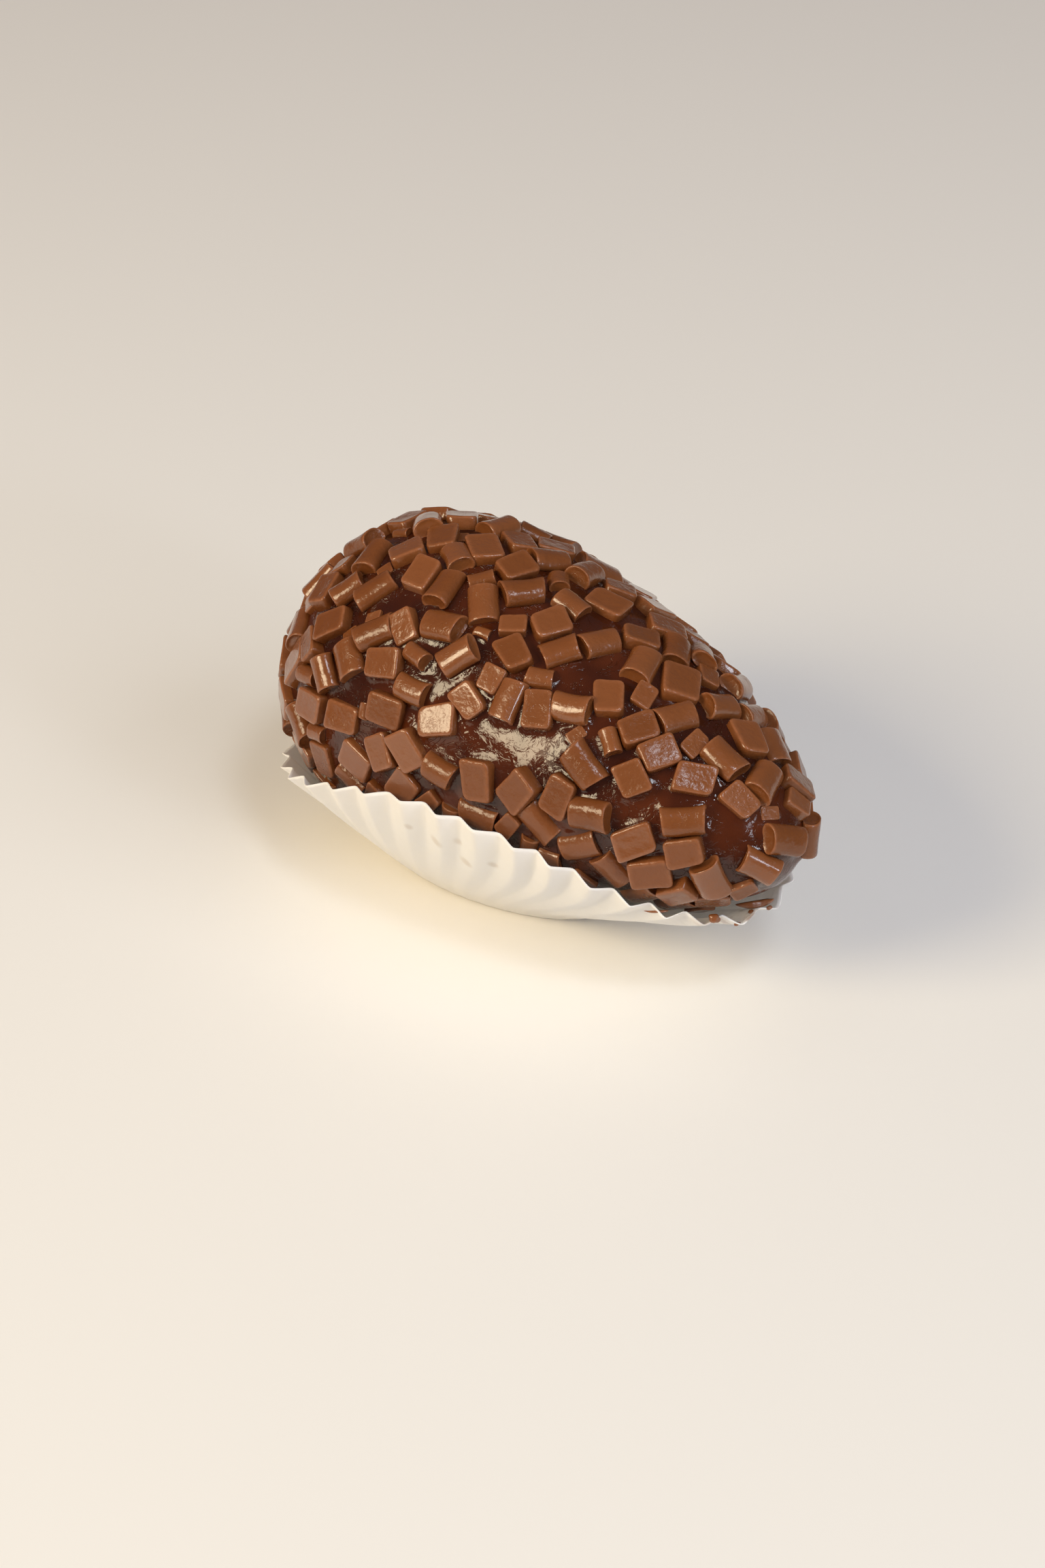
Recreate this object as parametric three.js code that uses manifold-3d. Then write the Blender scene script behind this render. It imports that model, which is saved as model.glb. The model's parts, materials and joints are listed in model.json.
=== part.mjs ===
// An egg-shaped brigadeiro, rolled in chopped milk chocolate, lying in its fluted white paper case.
//
// Millimetres, +Z up. The egg lies along X with its narrow end at +X. The origin is on the underside of the
// case's flat base, straight below the middle of the egg's length.
//
// The brigadeiro is one solid: the egg with its sprinkles fused on. The case is a second solid, a pleated
// paper cup that an egg has pressed into the shape of a boat: its wall hugs the egg, and because the wall is
// equally long all round, the rim stands high along the sides and low under the narrow end.

import * as THREE from "three";
import { ConvexGeometry } from "three/addons/geometries/ConvexGeometry.js";
import { mergeVertices } from "three/addons/utils/BufferGeometryUtils.js";
import Module from "manifold-3d";

// ---- Driving dimensions ----

// The chocolate egg, without its sprinkles.
const EGG_LENGTH = 70;
const EGG_WIDTH = 38.8; // at the widest place, which lies towards the blunt end
const EGG_TAPER = 0.3; // how much narrower the +X half is than the -X half
const EGG_FULLNESS = 2.2; // 2 is an ellipse, and more is squarer at the ends
const AXIS_HEIGHT = 20.3; // of the egg's long axis above the table
const UNDERSIDE_SAG = 1; // the lower half is this much deeper than round, from its own weight
const TIP_LIFT = 0.1; // and less so towards the narrow end, more towards the blunt end
const UNDERSIDE_KEEL = 0.055; // share of the radius missing half-way down the lower half
const EGG_SEGMENTS_ROUND = 28;
const EGG_SEGMENTS_LONG = 18;

// Soft dents and swellings left by the hand that rolled it: height, waves along the egg and round it, phase.
const LUMPS = [
  { height: 0.34, along: 2.3, round: 2, phase: 0.6 },
  { height: 0.26, along: -3.6, round: 3, phase: 2.1 },
  { height: 0.2, along: 5.2, round: 2, phase: 4.4 },
];
const LUMPS_IN_CASE = 0.3; // the share of them that is left where the case holds the egg

// The chopped chocolate. Each size of sprinkle is scattered in its own pass, the largest first.
const SPRINKLE_SEED = 20417;
const SPRINKLE_PASSES = [
  { tries: 6, length: [5.2, 5.7], width: [4.2, 4.7], height: [1.5, 1.8] },
  { tries: 4000, length: [4.2, 4.9], width: [3.3, 3.8], height: [1.6, 1.9] },
  { tries: 6000, length: [3.7, 4.3], width: [2.9, 3.4], height: [1.5, 1.9] },
  { tries: 300, length: [2.8, 3.5], width: [2.1, 2.7], height: [1.3, 1.6] },
];
const SPINS_TRIED = 6; // how many ways round a sprinkle is turned to fit between its neighbours
const BARREL_SHARE = 0.5; // the rest are flat blocks
const BARREL_HEIGHT = 1.22; // a barrel's height against a block's
const NEIGHBOUR_GAP = -0.35; // between footprints; below 0 they may overlap by this much
const BLOCK_WEAR = 0.35; // how far its top edges are worn back
const BARREL_SECTION = [[-1, -0.25], [-0.5, 0.85], [0.5, 0.85], [1, -0.25], [0.55, -1], [-0.55, -1]];
const SPRINKLE_SINK = [0.25, 0.55]; // how deep the underside is pressed into the egg
const SPRINKLE_TILT = 0.16; // radians, either way
const SPRINKLE_BELOW_RIM = 0.6; // how far inside the case the lowest sprinkles are centred
const NEAR_CASE = 3.2; // sprinkles centred less than this above the rim are pressed flat by the case
const PRESSED_LEAN = 0.2; // their share of the lean
const PRESSED_HEIGHT = 0.95; // the most they stand out of the egg

// Places where the glossy chocolate stays bare: place along the egg, angle round it (90 is the top, 180 the
// -Y side), half-length along the egg and half-width round it.
const BARE_PATCHES = [
  { along: 6, angle: 146, halfLength: 7, halfWidth: 3.3 },
  { along: 3, angle: 158, halfLength: 4, halfWidth: 2 },
  { along: 22, angle: 151, halfLength: 4.2, halfWidth: 3 },
  { along: 31, angle: 140, halfLength: 3.2, halfWidth: 2.8 },
  { along: 8.7, angle: 106, halfLength: 2.8, halfWidth: 2.6 },
  { along: 6, angle: 89, halfLength: 1.8, halfWidth: 1.8 },
  { along: -2.5, angle: 112, halfLength: 1.8, halfWidth: 1.8 },
  { along: -14.8, angle: 155, halfLength: 2, halfWidth: 2 },
  { along: -3, angle: 172, halfLength: 4.5, halfWidth: 1.7 },
  { along: 22, angle: 196, halfLength: 4, halfWidth: 1.5 },
  { along: 32, angle: 223, halfLength: 3, halfWidth: 2 },
  { along: 30, angle: -90, halfLength: 5.5, halfWidth: 7 },
  { along: -8, angle: 20, halfLength: 3.5, halfWidth: 2 },
];

// The paper case.
const PAPER_THICKNESS = 0.32;
const FLUTES = 38;
const COLUMNS_PER_FLUTE = 4;
const WALL_ROWS = 4;
const WALL_CLEARANCE = 0.95; // from the bare egg to the wall's innermost folds, at the foot
const RIM_CLEARANCE = 1.8; // the same at the rim
const BLUNT_FLARE = 0.8; // how much further out the rim stands round the blunt end's corners
const RIM_TOP = 21; // height of the rim where it is highest, at the egg's sides
const RIM_TOP_ALONG = 0.5; // and where along the egg that is
// From there to the ends it falls by so much, over such a reach, and the more suddenly for a higher power.
const RIM_FALL = { blunt: { drop: 13.7, reach: 27, power: 2 }, narrow: { drop: 9.4, reach: 24.4, power: 3.5 } };
const RIM_SWELL = { height: 0.35, waves: 3, phase: 1.1 }; // its slow rise and fall on the way round
const FOOT_LEVEL = 2.3; // the base is as large as the hugging surface is at this height
const FOOT_ROUNDING = 5; // height over which the wall comes in to hug the egg
const FOOT_FORWARD = 3; // how far the base has slid towards the narrow end
const FOOT_FORWARD_FADE = 1.5; // how soon that is gone further up the wall
const FLUTE_DEPTH_FOOT = 0.2; // half the depth from crest to valley
const FLUTE_DEPTH_RIM = 0.65;
const FLUTE_DEPTH_GROWTH = 2.6; // above 1, they deepen mostly near the rim

const CHOCOLATE = new THREE.MeshStandardMaterial({ color: 0x4a2010, roughness: 0.28, metalness: 0 });
const PAPER = new THREE.MeshStandardMaterial({ color: 0xf2efe8, roughness: 0.85, metalness: 0 });

// ---- The egg's surface ----

const HALF_LENGTH = EGG_LENGTH / 2;

// Radius of the egg's outline at a share t of its half-length, as a share of its full size.
function outlineShare(t) {
  const inside = Math.max(0, 1 - Math.abs(t) ** EGG_FULLNESS);
  return inside ** (1 / EGG_FULLNESS) * (1 - EGG_TAPER * t);
}

// The widest outline share, which turns EGG_WIDTH into the outline's scale, and where along the egg it is.
const WIDEST_SHARE_ALONG = Array.from({ length: 401 }, (_, i) => i / 200 - 1).reduce((best, t) =>
  outlineShare(t) > outlineShare(best) ? t : best,
);
const WIDEST_SHARE = outlineShare(WIDEST_SHARE_ALONG);
const RADIUS_SCALE = EGG_WIDTH / 2 / WIDEST_SHARE;

function lumpHeight(t, angle) {
  // No lumps where the outlines meet at the ends.
  const upper = Math.max(0, Math.sin(angle));
  const fade = Math.sqrt(Math.max(0, 1 - t * t)) * (LUMPS_IN_CASE + (1 - LUMPS_IN_CASE) * upper);
  const sum = LUMPS.reduce(
    (total, lump) => total + lump.height * Math.sin(lump.along * t + lump.round * angle + lump.phase),
    0,
  );
  return fade * sum;
}

// Depth of the lower half against a round one.
function undersideDepth(t) {
  return UNDERSIDE_SAG - TIP_LIFT * t;
}

// A point of the egg: t runs from -1 at the blunt end to 1 at the narrow end, angle runs round the X axis.
function eggPoint(t, angle) {
  const radius = RADIUS_SCALE * outlineShare(t) + lumpHeight(t, angle);
  const lower = Math.sin(angle) < 0;
  const slim = radius * (lower ? 1 - UNDERSIDE_KEEL * Math.sin(2 * angle) ** 2 : 1);
  return new THREE.Vector3(
    HALF_LENGTH * t,
    slim * Math.cos(angle),
    AXIS_HEIGHT + (lower ? undersideDepth(t) : 1) * slim * Math.sin(angle),
  );
}

function eggNormal(t, angle) {
  const step = 0.004;
  const inner = Math.min(Math.max(t, -1 + 2 * step), 1 - 2 * step);
  const along = eggPoint(inner + step, angle).sub(eggPoint(inner - step, angle));
  const round = eggPoint(inner, angle + step).sub(eggPoint(inner, angle - step));
  return along.cross(round).negate().normalize();
}

// The egg rests on the case's base, which the two meet with a hair of air.
const RESTING_GAP = 0.35;
const EGG_FLOOR = PAPER_THICKNESS + RESTING_GAP;

function eggGeometry() {
  const geometry = new THREE.SphereGeometry(1, EGG_SEGMENTS_ROUND, EGG_SEGMENTS_LONG);
  const place = geometry.attributes.position;
  for (let i = 0; i < place.count; i += 1) {
    // The sphere's poles, on its Y axis, become the egg's two ends.
    const t = place.getY(i);
    const angle = Math.atan2(place.getZ(i), -place.getX(i));
    const point = eggPoint(t, angle);
    place.setXYZ(i, point.x, point.y, Math.max(point.z, EGG_FLOOR));
  }
  return geometry;
}

// ---- The case's wall ----

// The wall lies on a larger egg, the hugging surface. Its level line at a height is an egg-shaped ring.
const HUG_HALF_LENGTH = HALF_LENGTH + WALL_CLEARANCE;
const HUG_RADIUS_SCALE = RADIUS_SCALE + WALL_CLEARANCE / WIDEST_SHARE;
const LINE_SAMPLES = 120;
const LEVEL_STEP = 0.4;
const HIGHEST_LEVEL = 30;

// Half of the level line, from the +X end to the -X end on the +Y side, with its running length.
function levelLine(height) {
  const below = height < AXIS_HEIGHT;
  const dropAt = (t) => {
    const drop = Math.abs(height - AXIS_HEIGHT) / (below ? undersideDepth(t) : 1);
    return Math.min(drop, HUG_RADIUS_SCALE * WIDEST_SHARE - 0.05);
  };
  const reach = (t) => HUG_RADIUS_SCALE * outlineShare(t) - dropAt(t);
  const end = (outer) => {
    let inside = WIDEST_SHARE_ALONG;
    let outside = outer;
    for (let i = 0; i < 40; i += 1) {
      const middle = (inside + outside) / 2;
      if (reach(middle) > 0) inside = middle;
      else outside = middle;
    }
    return inside;
  };
  const front = end(1);
  const back = end(-1);
  const points = [];
  for (let i = 0; i <= LINE_SAMPLES; i += 1) {
    const turn = (Math.PI * i) / LINE_SAMPLES;
    const t = (front + back) / 2 + ((front - back) / 2) * Math.cos(turn);
    const radius = HUG_RADIUS_SCALE * outlineShare(t);
    const half = i === 0 || i === LINE_SAMPLES ? 0 : Math.sqrt(Math.max(0, radius ** 2 - dropAt(t) ** 2));
    const keel = below ? 1 - UNDERSIDE_KEEL * Math.sin(2 * Math.atan2(dropAt(t), half)) ** 2 : 1;
    points.push([HUG_HALF_LENGTH * t, half * keel]);
  }
  const lengths = [0];
  for (let i = 1; i < points.length; i += 1) {
    const [x0, y0] = points[i - 1];
    const [x1, y1] = points[i];
    lengths.push(lengths[i - 1] + Math.hypot(x1 - x0, y1 - y0));
  }
  return { points, lengths };
}

// The point at a share of the whole way round a level line: 0 at the +X end, 0.5 at the -X end.
function pointOnLine(line, share) {
  const turned = share - Math.floor(share);
  const side = turned <= 0.5 ? 1 : -1;
  const wanted = (turned <= 0.5 ? turned : 1 - turned) * 2 * line.lengths[LINE_SAMPLES];
  let i = 1;
  while (i < LINE_SAMPLES && line.lengths[i] < wanted) i += 1;
  const span = line.lengths[i] - line.lengths[i - 1];
  const part = span > 0 ? (wanted - line.lengths[i - 1]) / span : 0;
  const [x0, y0] = line.points[i - 1];
  const [x1, y1] = line.points[i];
  return [x0 + (x1 - x0) * part, side * (y0 + (y1 - y0) * part)];
}

const LEVELS = Array.from({ length: Math.round(HIGHEST_LEVEL / LEVEL_STEP) + 1 }, (_, i) => {
  const height = i * LEVEL_STEP;
  const footness = Math.exp(-height / FOOT_ROUNDING);
  const line = levelLine(height + FOOT_LEVEL * footness);
  line.points.forEach((point) => {
    point[0] += FOOT_FORWARD * footness ** FOOT_FORWARD_FADE;
  });
  return { height, line };
});

// The rim lies in a bow: high along the sides, lower towards both ends.
function rimHeight(x, share) {
  const { drop, reach, power } = x < RIM_TOP_ALONG ? RIM_FALL.blunt : RIM_FALL.narrow;
  const bow = drop * (1 - Math.exp(-((Math.abs(x - RIM_TOP_ALONG) / reach) ** power)));
  const swell = RIM_SWELL.height * Math.sin(2 * Math.PI * RIM_SWELL.waves * share + RIM_SWELL.phase);
  return RIM_TOP - bow + swell;
}

// One column of the wall, followed up from the foot to the rim.
function wallColumn(share) {
  const trail = [];
  let length = 0;
  let roomBefore = 0;
  for (const { height, line } of LEVELS) {
    const [x, y] = pointOnLine(line, share);
    const here = new THREE.Vector3(x, y, height);
    const room = rimHeight(x, share) - height;
    const before = trail[trail.length - 1];
    if (room < 0) here.lerpVectors(before.point, here, roomBefore / (roomBefore - room));
    if (before) length += here.distanceTo(before.point);
    trail.push({ point: here, length });
    if (room < 0) return { trail, length };
    roomBefore = room;
  }
  return { trail, length };
}

function pointOnColumn(column, part) {
  const wanted = part * column.length;
  const next = Math.max(1, column.trail.findIndex((mark) => mark.length >= wanted - 1e-9));
  const from = column.trail[next - 1];
  const to = column.trail[next];
  return from.point.clone().lerp(to.point, (wanted - from.length) / (to.length - from.length));
}

// Half the depth of the flutes at a part of the way up the wall.
function fluteDepth(part) {
  return FLUTE_DEPTH_FOOT + (FLUTE_DEPTH_RIM - FLUTE_DEPTH_FOOT) * part ** FLUTE_DEPTH_GROWTH;
}

const COLUMNS = FLUTES * COLUMNS_PER_FLUTE;
const UPWARD_STEP = 0.05; // part of the wall, either way, over which its upward direction is taken

function wallRings() {
  const columns = Array.from({ length: COLUMNS }, (_, i) => wallColumn(i / COLUMNS));
  const at = (i, part) => pointOnColumn(columns[(i + COLUMNS) % COLUMNS], part);
  return Array.from({ length: WALL_ROWS + 1 }, (_, row) => {
    const part = row / WALL_ROWS;
    return columns.map((column, i) => {
      const around = at(i + 1, part).sub(at(i - 1, part));
      const up = pointOnColumn(column, Math.min(1, part + UPWARD_STEP)).sub(
        pointOnColumn(column, Math.max(0, part - UPWARD_STEP)),
      );
      const level = new THREE.Vector3(around.y, -around.x, 0).normalize();
      const outward = row === 0 ? level : around.cross(up).normalize();
      const corner = Math.cos((2 * Math.PI * i) / COLUMNS) < 0 ? Math.sin((4 * Math.PI * i) / COLUMNS) ** 2 : 0;
      const flare = (RIM_CLEARANCE - WALL_CLEARANCE + BLUNT_FLARE * corner) * part ** 2;
      const wave = Math.sin((2 * Math.PI * i) / COLUMNS_PER_FLUTE);
      const mean = at(i, part)
        .addScaledVector(level, flare)
        .addScaledVector(outward, fluteDepth(part) * (1 + wave));
      return { mean, outward };
    });
  });
}

// A closed skin through rings of points, closed by a fan at the first and at the last.
function skinThroughRings(rings, firstCentre, lastCentre) {
  const count = rings[0].length;
  const places = [firstCentre, ...rings.flat(), lastCentre].flatMap((p) => [p.x, p.y, p.z]);
  const faces = [];
  const id = (ring, i) => 1 + ring * count + ((i + count) % count);
  for (let i = 0; i < count; i += 1) {
    faces.push(0, id(0, i + 1), id(0, i));
    for (let ring = 0; ring + 1 < rings.length; ring += 1) {
      faces.push(id(ring, i), id(ring, i + 1), id(ring + 1, i));
      faces.push(id(ring, i + 1), id(ring + 1, i + 1), id(ring + 1, i));
    }
    faces.push(id(rings.length - 1, i), id(rings.length - 1, i + 1), places.length / 3 - 1);
  }
  const geometry = new THREE.BufferGeometry();
  geometry.setAttribute("position", new THREE.Float32BufferAttribute(places, 3));
  geometry.setIndex(faces);
  geometry.computeVertexNormals();
  return geometry;
}

// From the middle of the underside out to the foot, up the outside, over the rim and down the inside.
function caseGeometry() {
  const rings = wallRings();
  const outside = rings.map((ring) => ring.map(({ mean }) => mean.clone()));
  const inside = rings.map((ring) =>
    ring.map(({ mean, outward }) => mean.clone().addScaledVector(outward, -PAPER_THICKNESS)),
  );
  inside[0].forEach((point) => point.setZ(PAPER_THICKNESS));
  const middle = (height) => {
    const xs = outside[0].map((point) => point.x);
    return new THREE.Vector3((Math.min(...xs) + Math.max(...xs)) / 2, 0, height);
  };
  return skinThroughRings([...outside, ...inside.reverse()], middle(0), middle(PAPER_THICKNESS));
}

// Height of the rim beside a point of the egg, used to keep sprinkles out of the case.
const RIM = Array.from({ length: 2 * FLUTES }, (_, i) => {
  const { trail } = wallColumn(i / (2 * FLUTES));
  return trail[trail.length - 1].point;
});

function rimHeightNear(x, y) {
  return RIM.reduce(
    (best, point) => {
      const distance = Math.hypot(point.x - x, point.y - y);
      return distance < best.distance ? { distance, height: point.z } : best;
    },
    { distance: Infinity, height: 0 },
  ).height;
}

// ---- The sprinkles ----

// The same draws every time: a linear congruential generator.
function makeDraw(seed) {
  let state = seed;
  return () => {
    state = (1664525 * state + 1013904223) % 4294967296;
    return state / 4294967296;
  };
}

const NEIGHBOUR_REACH = 9; // footprints centred further apart than this never touch

function between([low, high], share) {
  return low + (high - low) * share;
}

function inBarePatch(point, t) {
  return BARE_PATCHES.some((patch) => {
    const angle = Math.atan2(point.z - AXIS_HEIGHT, point.y);
    const turn = angle - THREE.MathUtils.degToRad(patch.angle);
    const nearest = Math.atan2(Math.sin(turn), Math.cos(turn));
    const across = (RADIUS_SCALE * outlineShare(t) * nearest) / patch.halfWidth;
    return Math.hypot((point.x - patch.along) / patch.halfLength, across) < 1;
  });
}

// Two footprints are clear of each other when some side of one has the whole of the other beyond it.
function clear(a, b) {
  const apart = b.ground.clone().sub(a.ground);
  return [a.along, a.across, b.along, b.across].some((side) => {
    const reach = (print) =>
      (print.length * Math.abs(print.along.dot(side)) + print.width * Math.abs(print.across.dot(side))) / 2;
    return Math.abs(apart.dot(side)) > reach(a) + reach(b) + NEIGHBOUR_GAP;
  });
}

// Turned a little further each time until it fits between its neighbours; undefined where it never does.
function fittedPrint(t, angle, spin, length, width, near) {
  const ground = eggPoint(t, angle);
  const normal = eggNormal(t, angle);
  const level = new THREE.Vector3(1, 0, 0).projectOnPlane(normal).normalize();
  const turns = Array.from({ length: SPINS_TRIED }, (_, i) => Math.PI * (spin + i / SPINS_TRIED));
  return turns
    .map((turn) => {
      const along = level.clone().applyAxisAngle(normal, turn);
      return { ground, normal, along, across: new THREE.Vector3().crossVectors(normal, along), length, width };
    })
    .find((print) => near.every((other) => clear(print, other)));
}

function scatterSprinkles() {
  const draw = makeDraw(SPRINKLE_SEED);
  const placed = [];
  for (const pass of SPRINKLE_PASSES) {
    for (let i = 0; i < pass.tries; i += 1) {
      const [d0, d1, d2, d3, d4, d5, d6, d7, d8, d9] = Array.from({ length: 10 }, draw);
      const t = 2 * d0 - 1;
      const angle = 2 * Math.PI * d1;
      const ground = eggPoint(t, angle);
      const aboveRim = ground.z - rimHeightNear(ground.x, ground.y);
      if (aboveRim < -SPRINKLE_BELOW_RIM || inBarePatch(ground, t)) continue;
      const near = placed.filter((other) => other.ground.distanceTo(ground) < NEIGHBOUR_REACH);
      const print = fittedPrint(t, angle, d2, between(pass.length, d3), between(pass.width, d4), near);
      if (!print) continue;
      const barrel = d5 < BARREL_SHARE;
      const height = between(pass.height, d6) * (barrel ? BARREL_HEIGHT : 1);
      const pressed = aboveRim < NEAR_CASE;
      const tilt = SPRINKLE_TILT * (pressed ? PRESSED_LEAN : 1);
      const lean = new THREE.Euler(tilt * (2 * d7 - 1), tilt * (2 * d8 - 1), 0);
      const basis = new THREE.Matrix4().makeBasis(print.along, print.across, print.normal);
      const turn = new THREE.Quaternion().setFromRotationMatrix(basis).multiply(
        new THREE.Quaternion().setFromEuler(lean),
      );
      const sink = Math.max(between(SPRINKLE_SINK, d9), pressed ? height - PRESSED_HEIGHT : 0);
      const centre = ground.clone().addScaledVector(print.normal, height / 2 - sink);
      placed.push({ ...print, barrel, height, centre, turn });
    }
  }
  return placed;
}

// A block is a flat slab, a little smaller on top where its edges are worn.
function blockPoints({ length, width, height }) {
  return [-1, 1].flatMap((level) => {
    const inset = level > 0 ? BLOCK_WEAR : 0;
    return [[1, 1], [-1, 1], [-1, -1], [1, -1]].map(
      ([x, y]) => new THREE.Vector3(x * (length / 2 - inset), y * (width / 2 - inset), (level * height) / 2),
    );
  });
}

// A barrel is a cut strand with a lens-shaped section, lying on its flatter side.
function barrelPoints({ length, width, height }) {
  return [-1, 1].flatMap((end) =>
    BARREL_SECTION.map(([y, z]) => new THREE.Vector3((end * length) / 2, (y * width) / 2, (z * height) / 2)),
  );
}

function sprinkleGeometry(sprinkle) {
  const points = sprinkle.barrel ? barrelPoints(sprinkle) : blockPoints(sprinkle);
  return new ConvexGeometry(points)
    .applyQuaternion(sprinkle.turn)
    .translate(sprinkle.centre.x, sprinkle.centre.y, sprinkle.centre.z);
}

// ---- Joining ----

const wasm = await Module();
wasm.setup();

function solidFrom(geometry) {
  const bare = geometry.clone();
  bare.deleteAttribute("normal");
  bare.deleteAttribute("uv");
  const merged = mergeVertices(bare, 1e-4);
  return new wasm.Manifold(
    new wasm.Mesh({
      numProp: 3,
      vertProperties: new Float32Array(merged.attributes.position.array),
      triVerts: new Uint32Array(merged.index.array),
    }),
  );
}

function geometryFrom(solid) {
  const mesh = solid.getMesh();
  const geometry = new THREE.BufferGeometry();
  geometry.setAttribute("position", new THREE.BufferAttribute(mesh.vertProperties, mesh.numProp));
  geometry.setIndex(new THREE.BufferAttribute(mesh.triVerts, 1));
  geometry.computeVertexNormals();
  return geometry;
}

function brigadeiroGeometry() {
  const egg = solidFrom(eggGeometry());
  return geometryFrom(
    scatterSprinkles().reduce((whole, sprinkle) => whole.add(solidFrom(sprinkleGeometry(sprinkle))), egg),
  );
}

function named(name, geometry, material) {
  const mesh = new THREE.Mesh(geometry, material);
  mesh.name = name;
  return mesh;
}

const brigadeiro = new THREE.Group();
brigadeiro.add(named("brigadeiro", brigadeiroGeometry(), CHOCOLATE));
brigadeiro.add(named("paper_case", caseGeometry(), PAPER));

export default brigadeiro;
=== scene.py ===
"""An egg-shaped brigadeiro in its fluted paper case: the finished surfaces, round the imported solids."""

import functools
import json
import math

import bmesh
import bpy
import numpy as np
from mathutils import Matrix, Vector, noise

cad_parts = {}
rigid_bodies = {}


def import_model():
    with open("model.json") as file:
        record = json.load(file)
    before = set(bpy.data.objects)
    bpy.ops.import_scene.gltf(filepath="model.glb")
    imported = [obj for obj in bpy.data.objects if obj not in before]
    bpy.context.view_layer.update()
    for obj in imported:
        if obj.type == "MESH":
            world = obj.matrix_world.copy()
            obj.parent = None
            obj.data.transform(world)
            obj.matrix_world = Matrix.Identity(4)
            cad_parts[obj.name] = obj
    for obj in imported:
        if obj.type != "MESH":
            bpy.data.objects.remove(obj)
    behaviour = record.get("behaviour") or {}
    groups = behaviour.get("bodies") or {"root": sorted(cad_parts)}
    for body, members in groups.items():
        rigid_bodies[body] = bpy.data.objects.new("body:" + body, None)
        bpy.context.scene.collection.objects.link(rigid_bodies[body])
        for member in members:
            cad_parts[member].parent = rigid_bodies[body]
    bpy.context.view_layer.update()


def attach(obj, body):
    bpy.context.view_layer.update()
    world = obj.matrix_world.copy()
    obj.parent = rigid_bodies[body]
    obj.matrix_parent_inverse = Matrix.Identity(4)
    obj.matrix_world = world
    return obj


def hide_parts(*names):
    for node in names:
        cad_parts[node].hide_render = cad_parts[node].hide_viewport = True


bl_info = {
    "name": "Egg-shaped brigadeiro",
    "version": (1, 0, 0),
    "blender": (4, 5, 0),
    "location": "View3D > Sidebar > Brigadeiro",
    "description": "Makes a sprinkled chocolate egg, its paper case and a plain studio",
    "category": "Object",
}

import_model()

BODY = "root"
MM = 0.001

# ---- The egg's own dimensions, in millimetres, as its solid has them ----

EGG_LENGTH = 70.0
EGG_WIDTH = 38.8  # at the widest place, without the sprinkles
EGG_TAPER = 0.3  # how much narrower the +X half is than the -X half
EGG_FULLNESS = 2.2  # 2 is an ellipse, and more is squarer at the ends
AXIS_HEIGHT = 20.3
UNDERSIDE_SAG = 1.0  # depth of the lower half against a round one
TIP_LIFT = 0.1  # and less so towards the narrow end
UNDERSIDE_KEEL = 0.055  # share of the radius missing half-way down the lower half
EGG_FLOOR = 0.67  # where its flat underside lies
LUMPS = [  # height, waves along the egg, waves round it, phase
    (0.34, 2.3, 2, 0.6),
    (0.26, -3.6, 3, 2.1),
    (0.2, 5.2, 2, 4.4),
]
LUMPS_IN_CASE = 0.3  # the share of them that is left in the case

# ---- The sprinkles' dimensions ----

SPRINKLE_SEED = 20417
SPRINKLE_PASSES = [  # tries, then the ranges of length, width and height
    (6, (5.2, 5.7), (4.2, 4.7), (1.5, 1.8)),
    (4000, (4.2, 4.9), (3.3, 3.8), (1.6, 1.9)),
    (6000, (3.7, 4.3), (2.9, 3.4), (1.5, 1.9)),
    (300, (2.8, 3.5), (2.1, 2.7), (1.3, 1.6)),
]
FILLING_PASSES = [  # smaller pieces between those, which the solid leaves out
    (4000, (2.7, 3.5), (2.1, 2.7), (1.2, 1.6)),
    (500, (1.7, 2.4), (1.3, 1.7), (0.8, 1.1)),
]
DRAWS_EACH = 10
DRAW_FACTOR, DRAW_STEP, DRAW_RANGE = 1664525, 1013904223, 2**32
SPINS_TRIED = 6  # ways round that a sprinkle is turned to fit between its neighbours
BARREL_SHARE = 0.5  # the rest are blocks
BARREL_HEIGHT = 1.22  # against a block's
NEIGHBOUR_GAP = -0.35  # below 0, footprints may overlap by this much
NEIGHBOUR_REACH = 9.0
SPRINKLE_SINK = (0.25, 0.55)
SPRINKLE_TILT = 0.16  # radians, either way
SPRINKLE_BELOW_RIM = 0.6  # how far inside the case the lowest lie
FILLING_BELOW_RIM = 2.4
NEAR_CASE = 3.2  # those less than this above the rim are pressed flat by the case
PRESSED_LEAN = 0.2
PRESSED_HEIGHT = 0.95
BARE_PATCHES = [  # place along the egg, angle round it in degrees, half-length, half-width
    (6.0, 146, 7.0, 3.3),
    (3.0, 158, 4.0, 2.0),
    (22.0, 151, 4.2, 3.0),
    (31.0, 140, 3.2, 2.8),
    (8.7, 106, 2.8, 2.6),
    (6.0, 89, 1.8, 1.8),
    (-2.5, 112, 1.8, 1.8),
    (-14.8, 155, 2.0, 2.0),
    (-3.0, 172, 4.5, 1.7),
    (22.0, 196, 4.0, 1.5),
    (32.0, 223, 3.0, 2.0),
    (30.0, -90, 5.5, 7.0),
    (-8.0, 20, 3.5, 2.0),
]

# ---- The paper case's dimensions ----

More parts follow.
